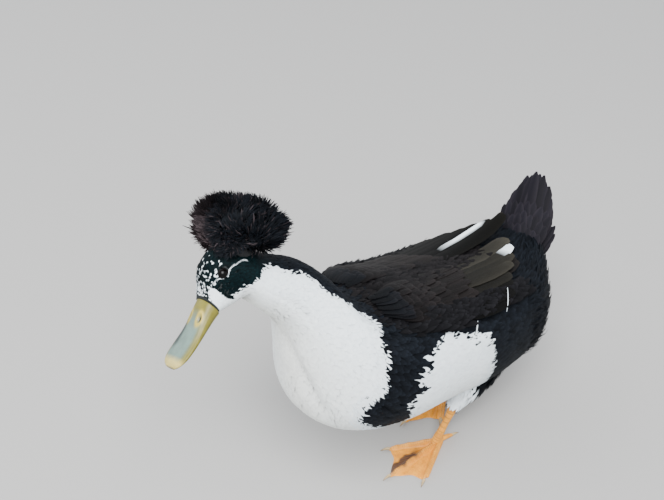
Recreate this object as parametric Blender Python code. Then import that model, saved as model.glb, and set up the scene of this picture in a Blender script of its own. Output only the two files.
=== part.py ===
# A crested duck standing on both webbed feet, with its head turned up and to one side.
# Sizes are in millimetres until a mesh is made, and angles are in degrees. The duck faces -Y,
# its left side is +X, and its feet stand on Z = 0. A place is (forward, left, up).

import math
import random

import bmesh
import bpy
import numpy as np

MM = 0.001
GAP = 0.3            # clearance between pieces that touch
FEATHER_SOLVER = "MANIFOLD"
RIM = 32             # points round a body section
# The middle of the whole duck's box, forward and left, which stands over the origin.
MIDDLE = (23.98, -7.08)

# The body's sections, from the tail stump to the top of the neck: the middle of each, its reach
# up, down and sideways, how far it leans back, and its turn and roll to the left.
BODY = (
    (-182, -8, 154, 9, 14, 22, -38, 8, 0),       # tail stump
    (-158, -2, 143, 22, 45, 44, -30, 4, 3),      # vent
    (-115, 4, 137, 32, 84, 70, -16, 0, 7),       # rump
    (-60, 2, 138, 39, 90, 80, -4, 0, 8),         # hips
    (5, 0, 145, 49, 79, 82, 7, 0, 6),            # belly
    (55, 0, 160, 54, 83, 80, 20, 0, 3),          # breast
    (87, -1, 182, 45, 84, 72, 38, -2, 2),        # crop
    (107, -6, 211, 25, 57, 55, 50, -8, 6),       # foot of the neck
    (127, -13, 239, 27, 35, 37, 52, -12, 10),    # low neck
    (149, -20, 260, 29, 25, 28, 46, -10, 14),    # high neck
)
# The head's own frame: its middle between the eyes, and how it turns, nods and rolls.
HEAD_AT = np.array((198.5, -36.0, 291.5))
HEAD_TURN, HEAD_NOD, HEAD_ROLL = 6, -24, 22
# The head's sections in that frame, from the neck to the bill: the middle along the bill's
# direction and up, the reach up, down and sideways, and how far the section leans back.
HEAD = (
    (-16, -26, 26, 22, 25, 60),     # top of the neck
    (-12, -11, 27, 20, 24.5, 38),   # nape
    (-4, -2, 27, 23, 22, 15),       # crown and cheeks
    (8, -1, 23, 21, 19, 0),         # eyes
    (18, -3, 15.5, 15, 16.5, -3),   # forehead
    (27, -4.5, 9.5, 9.5, 13, 0),    # root of the bill
)
T_RUMP, T_NECK, T_HEAD, T_BILL = 1.3, 7.0, 10.0, 15.0
TORSO_STEPS, NECK_STEPS, HEAD_STEPS = 22, 9, 15
CLEAR = 1.5 * GAP      # how far a feathered piece is cut clear of the flesh beside it
SQUARENESS = 0.90      # below 1 a section is a little boxier than an ellipse

# The eyes: where they sit on the head, their radius, how deep their middles lie, and the lids.
EYE_T, EYE_ANGLE, EYE_RADIUS, EYE_DEPTH = 12.7, 33, 5.2, 3.6
LID_RADIUS, LID_THICKNESS = 4.6, 0.9
LID_OPEN = 0.85       # the opening's height over its length


def turned(turn, nod, roll):
    """The forward, left and up directions of something turned left, tipped up and rolled."""
    turn, nod, roll = (math.radians(angle) for angle in (turn, nod, roll))
    ahead = np.array((math.cos(nod) * math.cos(turn), math.cos(nod) * math.sin(turn), math.sin(nod)))
    level = np.array((-math.sin(turn), math.cos(turn), 0.0))
    upright = np.cross(ahead, level)
    left = math.cos(roll) * level + math.sin(roll) * upright
    return ahead, left, np.cross(ahead, left)


HEAD_FRAME = turned(HEAD_TURN, HEAD_NOD, HEAD_ROLL)


def on_head(ahead, left, up):
    """The place of a point given in the head's own frame."""
    return HEAD_AT + ahead * HEAD_FRAME[0] + left * HEAD_FRAME[1] + up * HEAD_FRAME[2]


def stations():
    """One row for each section: middle, up direction, left direction and the three reaches."""
    rows = []
    for ahead, left, up, top, under, side, lean, turn, roll in BODY:
        frame = turned(turn, lean, roll)
        rows.append((ahead, left, up, *frame[2], *frame[1], top, under, side))
    for ahead, up, top, under, side, lean in HEAD:
        lean = math.radians(lean)
        raised = math.cos(lean) * HEAD_FRAME[2] - math.sin(lean) * HEAD_FRAME[0]
        rows.append((*on_head(ahead, 0, up), *raised, *HEAD_FRAME[1], top, under, side))
    return np.array(rows, float)


STATIONS = stations()


def section(t):
    """The section at t along the body, on a smooth curve through the stations."""
    last = len(STATIONS) - 1
    t = min(max(t, 0.0), float(last))
    i = min(int(t), last - 1)
    s = t - i
    before, start, end, after = (STATIONS[min(max(i + k, 0), last)] for k in (-1, 0, 1, 2))
    out = 0.5 * (end - before) if i > 0 else end - start
    into = 0.5 * (after - start) if i < last - 1 else end - start
    row = ((2 * s**3 - 3 * s**2 + 1) * start + (s**3 - 2 * s**2 + s) * out
           + (3 * s**2 - 2 * s**3) * end + (s**3 - s**2) * into)
    raised = row[3:6] / np.linalg.norm(row[3:6])
    left = row[6:9] - np.dot(row[6:9], raised) * raised
    return row[0:3], raised, left / np.linalg.norm(left), row[9:12]


def skin(t, angle, lift=0.0):
    """A point of the body at t, angle degrees round from its left side over its back."""
    if lift:
        return skin(t, angle) + lift * outward(t, angle)
    middle, raised, left, (top, under, side) = section(t)
    c, s = math.cos(math.radians(angle)), math.sin(math.radians(angle))
    across = side * math.copysign(abs(c) ** SQUARENESS, c)
    height = (top if s > 0 else under) * math.copysign(abs(s) ** SQUARENESS, s)
    return middle + across * left + height * raised


def outward(t, angle):
    """The direction straight out of the body there."""
    along = skin(t + 0.02, angle) - skin(t - 0.02, angle)
    around = skin(t, angle + 1.5) - skin(t, angle - 1.5)
    out = np.cross(around, along)
    return out / np.linalg.norm(out)


def ring(t, shift=0.0, grow=0.0, count=RIM):
    """The rim of the section at t, moved along the body by shift and widened by grow."""
    middle, raised, left, reach = section(t)
    ahead = np.cross(left, raised)
    points = []
    for k in range(count):
        point = skin(t, 360.0 * (k + 0.5) / count)
        point = point + grow * (point - middle) / np.linalg.norm(point - middle)
        points.append(point + shift * ahead)
    return points


# Meshes

def place(point):
    """A place in metres in the world, from (forward, left, up) in millimetres."""
    ahead, left, up = point
    return ((left - MIDDLE[1]) * MM, (MIDDLE[0] - ahead) * MM, up * MM)


def face_out(work):
    """Turns every face of a closed mesh out."""
    bmesh.ops.recalc_face_normals(work, faces=work.faces)
    if work.calc_volume(signed=True) < 0:
        bmesh.ops.reverse_faces(work, faces=work.faces)


def mesh_object(name, points, faces):
    """An object of these points and faces, with its faces turned out."""
    mesh = bpy.data.meshes.new(name)
    mesh.from_pydata([place(point) for point in points], [], faces)
    work = bmesh.new()
    work.from_mesh(mesh)
    face_out(work)
    work.to_mesh(mesh)
    work.free()
    obj = bpy.data.objects.new(name, mesh)
    bpy.context.scene.collection.objects.link(obj)
    return obj


def loft(name, rings):
    """A closed body through rings of as many points, or through single points at its ends."""
    points, rows, faces = [], [], []
    for row in rings:
        row = [row] if np.ndim(row) == 1 else list(row)
        rows.append(list(range(len(points), len(points) + len(row))))
        points += row
    for near, far in zip(rows, rows[1:]):
        count = max(len(near), len(far))
        for k in range(count):
            m = (k + 1) % count
            face = (near[k % len(near)], near[m % len(near)], far[m % len(far)], far[k % len(far)])
            faces.append(tuple(dict.fromkeys(face)))
    faces += [tuple(row) for row in (rows[0], rows[-1]) if len(row) > 2]
    return mesh_object(name, points, faces)


def tube(name, middles, widths, heights=None, sides=12, up=(0, 0, 1)):
    """A round or oval tube through the middles, its sections square to its run."""
    heights = heights or widths
    middles = [np.array(middle, float) for middle in middles]
    rings = []
    for i, middle in enumerate(middles):
        run = middles[min(i + 1, len(middles) - 1)] - middles[max(i - 1, 0)]
        run = run / np.linalg.norm(run)
        across = np.cross(np.array(up, float), run)
        across = across / np.linalg.norm(across)
        raised = np.cross(run, across)
        rings.append([middle + widths[i] * math.cos(a) * across + heights[i] * math.sin(a) * raised
                      for a in (2 * math.pi * (k + 0.5) / sides for k in range(sides))])
    return loft(name, rings)


def ball(name, centre, frame, reaches, segments=16, rings=10):
    """An ellipsoid with these reaches along the frame's three directions."""
    mesh = bpy.data.meshes.new(name)
    work = bmesh.new()
    bmesh.ops.create_uvsphere(work, u_segments=segments, v_segments=rings, radius=1.0)
    for vert in work.verts:
        spot = sum((vert.co[i] * reaches[i] * np.array(frame[i]) for i in range(3)), np.array(centre))
        vert.co = place(spot)
    face_out(work)
    work.to_mesh(mesh)
    work.free()
    obj = bpy.data.objects.new(name, mesh)
    bpy.context.scene.collection.objects.link(obj)
    return obj


def remove(objects):
    for obj in objects:
        bpy.data.objects.remove(obj)


def combine(obj, others, operation, solver="EXACT"):
    """Joins the others to the object, or cuts them from it, and removes them."""
    group = bpy.data.collections.new("tools")
    bpy.context.scene.collection.children.link(group)
    for other in others:
        group.objects.link(other)
    change = obj.modifiers.new("combine", "BOOLEAN")
    change.operand_type = "COLLECTION"
    change.collection = group
    change.operation = operation
    change.solver = solver
    bpy.context.view_layer.update()
    result = bpy.data.meshes.new_from_object(obj.evaluated_get(bpy.context.evaluated_depsgraph_get()))
    obj.modifiers.clear()
    obj.data = result
    remove(others)
    bpy.data.collections.remove(group)
    keep_largest(obj)
    return obj


def keep_largest(obj):
    """Keeps the largest closed surface of the object."""
    work = bmesh.new()
    work.from_mesh(obj.data)
    left_over = set(work.verts)
    groups = []
    while left_over:
        group, edge_of = set(), [left_over.pop()]
        while edge_of:
            vert = edge_of.pop()
            group.add(vert)
            for edge in vert.link_edges:
                other = edge.other_vert(vert)
                if other in left_over:
                    left_over.remove(other)
                    edge_of.append(other)
        groups.append(group)
    groups.sort(key=surface_size)
    bmesh.ops.delete(work, geom=[vert for group in groups[:-1] for vert in group], context="VERTS")
    work.to_mesh(obj.data)
    work.free()


def surface_size(group):
    """The spread of a group of points, by which the main surface is told from scraps."""
    places = np.array([vert.co for vert in group])
    return float(np.prod(places.max(axis=0) - places.min(axis=0) + MM))


# Flesh

def body_piece(name, start, end, steps, grow=0.0):
    """A length of the body from section to section, short by the gap where another ends."""
    rings = [ring(start, GAP, grow)]
    rings += [ring(start + (end - start) * k / steps, 0.0, grow) for k in range(1, steps + 1)]
    return loft(name, rings)


def make_torso():
    return body_piece("torso", T_RUMP, T_NECK, TORSO_STEPS)


def make_neck():
    return body_piece("neck", T_NECK, T_HEAD, NECK_STEPS)


def eye_seat(side):
    """The middle of an eye, and the directions ahead, up and out of the head there."""
    angle = EYE_ANGLE if side > 0 else 180 - EYE_ANGLE
    out = outward(EYE_T, angle)
    raised = HEAD_FRAME[2] - np.dot(HEAD_FRAME[2], out) * out
    raised = raised / np.linalg.norm(raised)
    return skin(EYE_T, angle, -EYE_DEPTH), (np.cross(raised, out), raised, out)


def make_head():
    head = body_piece("head", T_HEAD, T_BILL, HEAD_STEPS)
    lids, sockets = [], []
    for side in (1, -1):
        centre, frame = eye_seat(side)
        rim = []
        for k in range(16):
            a = 2 * math.pi * k / 16
            across = math.cos(a) * frame[0] + LID_OPEN * math.sin(a) * frame[1]
            rim.append(centre + frame[2] * EYE_DEPTH + LID_RADIUS * across)
        lids.append(closed_tube("lid", rim, LID_THICKNESS, frame[2]))
        sockets.append(ball("socket", centre, frame, (EYE_RADIUS + GAP,) * 3))
    combine(head, lids, "UNION")
    combine(head, sockets, "DIFFERENCE")
    return head


def closed_tube(name, middles, radius, out, sides=6):
    """A tube that closes on itself."""
    count = len(middles)
    points, faces = [], []
    centre = sum(middles) / count
    for middle in middles:
        away = (middle - centre) / np.linalg.norm(middle - centre)
        for k in range(sides):
            a = 2 * math.pi * k / sides
            points.append(middle + radius * (math.cos(a) * away + math.sin(a) * out))
    for i in range(count):
        for k in range(sides):
            j, m = (i + 1) % count, (k + 1) % sides
            faces.append((i * sides + k, i * sides + m, j * sides + m, j * sides + k))
    return mesh_object(name, points, faces)


def make_eyes():
    for side, name in ((1, "eye_left"), (-1, "eye_right")):
        centre, frame = eye_seat(side)
        ball(name, centre, frame, (EYE_RADIUS,) * 3, 12, 8)


# Crest: a dense core on the back of the crown, and feathers that spread from it like a ball

CREST_ROOT = (-25, 0, 12)          # where its feathers grow from, in the head's frame
CREST_CORE = (16, 22, 18)          # the core's reach ahead, sideways and up
CREST_MIDDLE = (-40, 1, 19.5)      # the middle of the ball that the tips lie on
CREST_REACH = (31, 58, 26.5)       # that ball's reach ahead, sideways and up
CREST_FEATHERS, CREST_WIDTH, CREST_THICK = 70, 10.0, 1.5
# Along a crest feather: the place, the width and how far it droops, as shares of its size.
CREST_SHAFT = ((0.3, 0.6, 0.0), (0.78, 1.0, 0.02), (1.0, 0.3, 0.05))
CREST_RIDGE = 0.2                  # how far its edges hang under its shaft, over its half width
CREST_LEAN = 42                    # how far the middle of the spray leans back from the head's up
CREST_CAP = 1.10                   # how far down the spray reaches, as a share of the ball's radius


def leaf(name, tops, ups, thick):
    """A flat feather: rows of low edge, shaft and high edge from root to tip, thinning outwards."""
    rings = []
    for i, (row, up) in enumerate(zip(tops, ups)):
        deep = thick * (1.0 - 0.5 * i / (len(tops) - 1))
        rings.append(list(row) + [row[-1] - deep * up, row[0] - deep * up])
    return loft(name, rings)


def crest_feather(draw, direction):
    """One crest feather along a direction in the head's frame, drooping a little at its tip."""
    root = np.array(CREST_ROOT, float)
    middle, reach = np.array(CREST_MIDDLE, float), np.array(CREST_REACH, float)
    # The tip is where the feather's line leaves the ball.
    near, slope = (root - middle) / reach, direction / reach
    a, b, c = slope @ slope, near @ slope, near @ near - 1.0
    length = (math.sqrt(b * b - a * c) - b) / a * draw.uniform(0.9, 1.04)
    across = np.cross(direction, (0.35, draw.uniform(-0.4, 0.4), 1.0))
    across = across / np.linalg.norm(across)
    up = np.cross(across, direction)
    tops, ups = [], []
    for s, wide, droop in CREST_SHAFT:
        spot = root + direction * length * s - np.array((0.3, 0, 1.0)) * droop * length
        half = 0.5 * CREST_WIDTH * wide
        edge = spot - CREST_RIDGE * half * up
        row = [edge - half * across, spot + 0.5 * CREST_RIDGE * half * up, edge + half * across]
        tops.append([on_head(*point) for point in row])
        ups.append(on_head(*up) - HEAD_AT)
    return leaf("feather", tops, ups, CREST_THICK)


def make_crest():
    draw = random.Random(7)
    crest = ball("crest", on_head(*CREST_ROOT), HEAD_FRAME, CREST_CORE, 20, 12)
    feathers = []
    for k in range(CREST_FEATHERS):
        # Even directions over a cap that leans back from straight up.
        height = 1.0 - CREST_CAP * (k + 0.5) / CREST_FEATHERS
        turn = k * math.pi * (3.0 - math.sqrt(5.0)) + draw.uniform(-0.06, 0.06)
        round_about = math.sqrt(1.0 - height * height)
        ahead, side, up = round_about * math.cos(turn), round_about * math.sin(turn), height
        lean = math.radians(CREST_LEAN)
        direction = np.array((ahead * math.cos(lean) - up * math.sin(lean), side,
                              ahead * math.sin(lean) + up * math.cos(lean)))
        feathers.append(crest_feather(draw, direction))
    combine(crest, feathers, "UNION", FEATHER_SOLVER)
    skull = body_piece("skull", T_NECK + 1, T_BILL, 21, CLEAR)
    return combine(crest, [skull], "DIFFERENCE", FEATHER_SOLVER)


# Bill: each half is a row of flat sections from root to tip

BILL_SIDES = 12
BILL_BLUNT = 0.8                   # below 1 its back is a little flatter than an ellipse
LOWER_INSET = 1.2                  # how much narrower the lower half is
# Its sections: ahead, up, half width, and height above and below the line of the mouth.
BILL = (
    (27, -9.0, 12.5, 13.0, 5.5),
    (34, -9.5, 12.2, 11.5, 5.2),
    (43, -10.5, 12.4, 9.0, 4.8),
    (54, -11.5, 13.4, 6.6, 4.2),
    (65, -12.0, 14.5, 5.2, 3.7),
    (75, -12.4, 14.2, 4.6, 3.1),
    (82, -12.8, 11.0, 4.0, 2.4),
    (85.5, -13.4, 6.0, 3.0, 1.6),
)
NOSTRIL_AT, NOSTRIL_REACH = (41.5, 6.4, -1.6), (3.4, 1.2, 1.8)
NAIL_AT, NAIL_REACH = (82.5, 0, -10.4), (5.0, 4.6, 2.6)


def bill_half(name, above):
    """The upper or lower half of the bill, with a flat face along the line of the mouth."""
    rings = []
    for i, (ahead, up, width, top, under) in enumerate(BILL):
        height = top if above else -under
        start = GAP / 2 if above else -GAP / 2
        width = width if above else width - LOWER_INSET
        row = []
        for k in range(BILL_SIDES + 1):
            a = math.pi * k / BILL_SIDES
            row.append(on_head(ahead + (GAP if i == 0 else 0), width * math.cos(a),
                               up + start + height * math.sin(a) ** BILL_BLUNT))
        rings.append(row)
    return loft(name, rings)


def make_bill():
    upper = bill_half("bill_upper", True)
    combine(upper, [ball("nail", on_head(*NAIL_AT), HEAD_FRAME, NAIL_REACH, 12, 8)], "UNION")
    ahead, left, up = NOSTRIL_AT
    pits = [ball("pit", on_head(ahead, left * side, up), HEAD_FRAME, NOSTRIL_REACH, 10, 6)
            for side in (1, -1)]
    combine(upper, pits, "DIFFERENCE")
    bill_half("bill_lower", False)


# Wings: a core along the upper flank, and rows of feathers that lie back over one another

WING_FRONT, WING_END = 6.2, 2.7        # the core's ends along the body
WING_LOW, WING_HIGH = 46, 84           # its edges, in degrees round the body
WING_DEEP, WING_SUNK = 3.2, 2.5        # its thickness over the skin, and how far it is rooted
WING_STEPS, WING_ACROSS = 10, 7        # its points along and across
WING_TAPER = 0.25                      # its width at the ends, over its width in the middle
RISE = 1.2                             # how much each feather's lower edge stands over the next one
FEATHER_THICK = 0.9
# Rows of feathers: how many, where the lowest and the highest one start and end along the body,
# their angles round it at the root and at the tip, their width, and the heights of root and tip.
WING_ROWS = (
    (4, (3.3, 3.1), (1.75, 1.40), (58, 76), (60, 76), 13, (1.5, 5.2)),      # primaries
    (7, (4.2, 3.8), (2.90, 1.65), (44, 84), (34, 84), 20, (2.2, 7.0)),      # secondaries
    (6, (4.7, 4.5), (3.60, 3.10), (46, 84), (42, 84), 17, (2.2, 6.8)),      # greater coverts
    (6, (5.2, 5.1), (4.30, 4.10), (48, 84), (46, 83), 14, (2.2, 6.2)),      # middle coverts
    (6, (5.7, 5.6), (4.85, 4.75), (50, 84), (48, 83), 13, (2.0, 5.6)),      # lesser coverts
    (4, (6.15, 6.1), (5.35, 5.25), (55, 81), (52, 80), 14, (1.8, 5.0)),     # shoulder
)
FAR_REACH, FAR_RISE = 0.9, 18.0         # how much further and higher the right wing's long feathers go
WING_SHAFT = ((0.0, 0.6), (0.5, 1.0), (0.86, 0.85), (1.0, 0.25))            # width along a feather
WING_RIDGE = 0.4                        # how far the shaft stands over the vane
# The sections of the rump that the wings are cut clear of, and by how much.
WING_CLEAR = ((T_RUMP + 0.2, 1.0, 0.6, 0.2), 4.5)


def wing_feather(side, start, end, width, heights, lifted):
    """A feather over the body from start to end, each a place along it and an angle round it."""
    tops, ups = [], []
    for s, wide in WING_SHAFT:
        t = start[0] + (end[0] - start[0]) * s
        angle = start[1] + (end[1] - start[1]) * s
        height = heights[0] + (heights[1] - heights[0]) * s + lifted * s**2
        per_degree = np.linalg.norm(skin(t, angle + 1) - skin(t, angle - 1)) / 2
        turn, rise = 0.5 * width * wide / per_degree, RISE * wide
        row = [(angle - turn, height + rise), (angle, height + WING_RIDGE), (angle + turn, height - rise)]
        spots = [skin(t, a if side > 0 else 180 - a, h) for a, h in row]
        tops.append(spots)
        ups.append(outward(t, angle if side > 0 else 180 - angle))
    return leaf("feather", tops, ups, FEATHER_THICK)


def wing_core(side, name):
    """The folded arm: a low mound along the upper flank, rooted in the skin."""
    rings = []
    for i in range(WING_STEPS + 1):
        s = i / WING_STEPS
        t = WING_FRONT + (WING_END - WING_FRONT) * s
        full = max(0.0, 1 - abs(2 * s - 1) ** 3) ** 0.5
        half = (WING_HIGH - WING_LOW) / 2 * (WING_TAPER + (1 - WING_TAPER) * full)
        middle = (WING_HIGH + WING_LOW) / 2
        top, bottom = [], []
        for j in range(WING_ACROSS + 1):
            u = 2 * j / WING_ACROSS - 1
            angle = middle + half * u
            angle = angle if side > 0 else 180 - angle
            top.append(skin(t, angle, WING_DEEP * (0.2 + 0.8 * full) * (1 - u**4) ** 0.5 + GAP))
            bottom.append(skin(t, angle, -WING_SUNK))
        rings.append(top + bottom[::-1])
    return loft(name, rings)


def make_wing(side, name):
    wing = wing_core(side, name)
    feathers = []
    for count, starts, ends, roots, tips, width, heights in WING_ROWS:
        # The right wing is carried a little further back, with its long feathers raised.
        far = 1.0 if side < 0 and ends[1] < WING_END else 0.0
        for k in range(count):
            s = k / (count - 1)
            start = (starts[0] + (starts[1] - starts[0]) * s, roots[0] + (roots[1] - roots[0]) * s)
            end = (ends[0] + (ends[1] - ends[0]) * s - far * FAR_REACH * s,
                   tips[0] + (tips[1] - tips[0]) * s)
            feathers.append(wing_feather(side, start, end, width, heights, far * FAR_RISE * s * s))
    combine(wing, feathers, "UNION", FEATHER_SOLVER)
    clear = [body_piece("flank", T_RUMP, T_NECK, TORSO_STEPS, CLEAR),
             loft("rump", [ring(t, 0.0, WING_CLEAR[1]) for t in WING_CLEAR[0]])]
    return combine(wing, clear, "DIFFERENCE", FEATHER_SOLVER)


# Tail: the rump with a closed fan of tail feathers, and shorter ones over and under its root

TAIL_ROOT = (-161, 4, 138)
TAIL_RAISE, TAIL_BEND, TAIL_LENGTH = 44, 20, 92
TAIL_FEATHERS, TAIL_WIDTH, TAIL_SPREAD = 12, 17, 1.6
TAIL_SHAFT = ((0.0, 0.5), (0.5, 1.0), (0.82, 0.85), (1.0, 0.16))
TAIL_STEP, TAIL_DROP = 2.0, (1.3, 1.5)          # from feather to feather: across, and down at root and tip
TAIL_SHORTER = (1.5, 1.6)                       # how much shorter the outer feathers are: size and power
TAIL_OFFSET = 0.6                               # how much higher the left half of the fan lies
TAIL_SLOPE = 0.12                               # how a feather leans sideways, over its width
COVERT_STEP, COVERT_DROP, COVERT_SHORTER = 5.5, 1.2, 0.05
# Rows of coverts: how many, length, width, spread in degrees, height at root and at tip.
TAIL_COVERTS = (
    (5, 50, 17, 7, 5.0, 8.0),
    (4, 34, 16, 9, 8.0, 10.5),
    (5, 56, 18, 8, -9.0, -9.5),
    (4, 40, 18, 10, -14.0, -15.0),
)


def tail_feather(turn, length, width, start, drop, rise):
    """A feather of the fan, turned from its middle line, with its root and tip heights in the fan."""
    back, left, up = turned(180 + TAIL_BEND, TAIL_RAISE, 0)
    a = math.radians(turn)
    ahead, across = math.cos(a) * back + math.sin(a) * left, math.cos(a) * left - math.sin(a) * back
    root = np.array(TAIL_ROOT, float) + start * left + drop * up
    slope = math.copysign(TAIL_SLOPE, turn) if turn else 0.0
    tops, ups = [], []
    for s, wide in TAIL_SHAFT:
        spot = root + ahead * length * s + up * (rise - drop) * s
        half = 0.5 * width * wide
        edge = half * across - slope * half * up
        tops.append([spot - edge, spot + WING_RIDGE * up, spot + edge])
        ups.append(up)
    return leaf("feather", tops, ups, FEATHER_THICK)


def make_tail():
    rings = [ring(T_RUMP, -GAP)] + [ring(t) for t in (1.0, 0.7, 0.4, 0.2, 0.0)]
    tail = loft("tail", rings)
    feathers = []
    for k in range(TAIL_FEATHERS):
        out = k - (TAIL_FEATHERS - 1) / 2
        length = TAIL_LENGTH - TAIL_SHORTER[0] * abs(out) ** TAIL_SHORTER[1]
        offset = TAIL_OFFSET if out > 0 else 0.0
        feathers.append(tail_feather(out * TAIL_SPREAD, length, TAIL_WIDTH, out * TAIL_STEP,
                                     -TAIL_DROP[0] * abs(out), offset - TAIL_DROP[1] * abs(out)))
    for count, length, width, spread, drop, rise in TAIL_COVERTS:
        for k in range(count):
            out = k - (count - 1) / 2
            shorter = length * (1 - COVERT_SHORTER * abs(out))
            tip = rise - math.copysign(COVERT_DROP, drop) * abs(out)
            feathers.append(tail_feather(out * spread, shorter, width, out * COVERT_STEP, drop, tip))
    combine(tail, feathers, "UNION", FEATHER_SOLVER)
    rear = body_piece("rear", T_RUMP, T_NECK, TORSO_STEPS, CLEAR)
    return combine(tail, [rear], "DIFFERENCE", FEATHER_SOLVER)


# Legs

LEGS = {
    "left": dict(heel=(-12, 39), turn=-4, hock=(-26, 44, 48), hip=(-76, 45, 86)),
    "right": dict(heel=(-80, -12), turn=5, hock=(-100, -22, 46), hip=(-88, -42, 88)),
}
# Thigh: where its sections stand, from the hock to the hip, their radii, and its root in the body.
THIGH_RUN = (0.25, 0.6, 1.0)
THIGH_RADII = (9.5, 17.0, 22.0, 23.5, 19.0)
THIGH_START, THIGH_ROOT = 1.0, 8.0
# Shank: its radii from the top of the hock's knob to the ankle, and where the ends' sections stand.
SHANK_RADII = (3.0, 5.8, 5.4, 3.8, 4.2, 4.6)
KNOB_TOP, KNOB_MIDDLE, KNOB_FOOT, ANKLE = -5.0, -2.5, 4.0, 4.0
# Foot: the ankle over the floor, ahead of the heel, and its radii and depth into the toes.
ANKLE_TOP, ANKLE_AHEAD = 12.0, 3.0
ANKLE_RADII, ANKLE_DEEP = (4.6, 5.2), 10.0
# Toes: the turn from the middle toe and the length, from the inner to the outer one, then the hind one.
TOES = ((-30, 54), (0, 72), (28, 58))
HIND_TOE = (172, 15)
TOE_RADII, TOE_HEIGHTS = (4.0, 3.4, 2.6, 1.8), (3.4, 3.0, 2.4, 2.0)
TOE_ROOT, TOE_BEND, TOE_TIP = 2.0, 0.45, 3.0
HIND_RADII, HIND_HEIGHTS = (3.4, 2.4, 1.6), (5.0, 3.6, 2.2)
HIND_ROOT, HIND_BEND = 3.0, 0.6
# Web: its thickness, how far it stays behind the claws, and how deep it is cut between two toes.
WEB_THICK, WEB_SHORT, WEB_CUT = 1.8, 4.0, 0.07
WEB_BACK = 4.0
CLAW_LENGTH, CLAW_RADII, CLAW_HEIGHTS = 9.0, (1.5, 1.1, 0.3), (2.1, 1.9, 0.7)
FLOOR = ((-300, -200), (300, -200), (300, 200), (-300, 200))      # corners of the block under the feet
FLOOR_DEEP = 20


def thigh_tube(name, leg, grow):
    """The feathered thigh, from the hock up into the body."""
    hip, hock = np.array(leg["hip"], float), np.array(leg["hock"], float)
    run = (hip - hock) / np.linalg.norm(hip - hock)
    middles = [hock + run * THIGH_START] + [hock + s * (hip - hock) for s in THIGH_RUN]
    middles.append(hip + run * (THIGH_ROOT + grow))
    return tube(name, middles, [radius + grow for radius in THIGH_RADII], sides=14, up=(1, 0, 0))


def shank_line(leg):
    """The hock, the top of the ankle, and the direction and distance from one to the other."""
    hock = np.array(leg["hock"], float)
    ankle = np.array((leg["heel"][0] + ANKLE_AHEAD, leg["heel"][1], ANKLE_TOP))
    length = np.linalg.norm(ankle - hock)
    return hock, ankle, (ankle - hock) / length, length


def shank_tube(name, leg, grow):
    """The bare shank, from its hock knob down to the foot."""
    hock, ankle, run, length = shank_line(leg)
    length -= GAP
    steps = (KNOB_TOP - grow, KNOB_MIDDLE, KNOB_FOOT, 0.5 * length, length - ANKLE, length)
    radii = [radius + grow for radius in SHANK_RADII]
    return tube(name, [hock + run * step for step in steps], radii, sides=12, up=(1, 0, 0))


def toe_line(leg, turn):
    """Where a toe starts on the floor, at the heel, and its direction."""
    a = math.radians(leg["turn"] + turn)
    return np.array((leg["heel"][0], leg["heel"][1], 0.0)), np.array((math.cos(a), math.sin(a), 0.0))


def toe_tube(name, start, ahead, steps, radii, heights, sides=8):
    """A tube along a toe, its sections at these steps from the heel and heights over the floor."""
    return tube(name, [start + ahead * step + (0, 0, height) for step, height in zip(steps, heights)],
                radii, sides=sides)


def make_leg(side, torso):
    leg = LEGS[side]
    sign = 1 if side == "left" else -1
    combine(torso, [thigh_tube("socket", leg, GAP)], "DIFFERENCE")
    thigh = thigh_tube(f"thigh_{side}", leg, 0.0)
    combine(thigh, [shank_tube("knob", leg, GAP)], "DIFFERENCE")
    shank_tube(f"shank_{side}", leg, 0.0)
    make_foot(side, leg, sign)


def make_foot(side, leg, sign):
    """The foot with its toes and web, cut flat on the floor, and a claw on each toe."""
    pieces, tips = [], []
    for turn, length in TOES:
        start, ahead = toe_line(leg, turn * sign)
        steps = (-TOE_ROOT, length * TOE_BEND, length - TOE_TIP, length)
        pieces.append(toe_tube("toe", start, ahead, steps, TOE_RADII, TOE_HEIGHTS))
        tips.append(start + ahead * (length - WEB_SHORT))
    heel = toe_line(leg, 0)[0]
    outline = [heel - (WEB_BACK, 0, 0), tips[0]]
    for near, far in zip(tips, tips[1:]):
        outline += [0.5 * (near + far) * (1 - WEB_CUT) + WEB_CUT * heel, far]
    pieces.append(loft("web", [[point + (0, 0, WEB_THICK) for point in outline],
                               [point - (0, 0, 1) for point in outline]]))
    start, back = toe_line(leg, HIND_TOE[0] * sign)
    steps = (-HIND_ROOT, HIND_TOE[1] * HIND_BEND, HIND_TOE[1])
    pieces.append(toe_tube("hind", start, back, steps, HIND_RADII, HIND_HEIGHTS))
    ankle, run = shank_line(leg)[1:3]
    foot = tube(f"foot_{side}", [ankle, ankle + run * ANKLE_DEEP], ANKLE_RADII, sides=12, up=(1, 0, 0))
    combine(foot, pieces, "UNION")
    floor = loft("floor", [[np.array((x, y, z), float) for x, y in FLOOR] for z in (0, -FLOOR_DEEP)])
    combine(foot, [floor], "DIFFERENCE")
    for number, (turn, length) in enumerate([*TOES, HIND_TOE], 1):
        start, ahead = toe_line(leg, turn * sign)
        steps = [length + GAP + share * CLAW_LENGTH for share in (0.0, 0.5, 1.0)]
        toe_tube(f"claw_{side}_{number}", start, ahead, steps, CLAW_RADII, CLAW_HEIGHTS, sides=6)


# Colours

COLOURS = {
    "torso": (0.80, 0.80, 0.78, 0.85), "neck": (0.80, 0.80, 0.78, 0.85), "head": (0.03, 0.05, 0.05, 0.6),
    "crest": (0.03, 0.025, 0.035, 0.7), "bill": (0.55, 0.56, 0.38, 0.4), "eye": (0.02, 0.015, 0.01, 0.1),
    "wing": (0.06, 0.05, 0.05, 0.6), "tail": (0.04, 0.04, 0.05, 0.6), "thigh": (0.80, 0.80, 0.78, 0.85),
    "shank": (0.70, 0.38, 0.10, 0.5), "foot": (0.72, 0.40, 0.10, 0.5), "claw": (0.62, 0.52, 0.36, 0.4),
}


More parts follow.
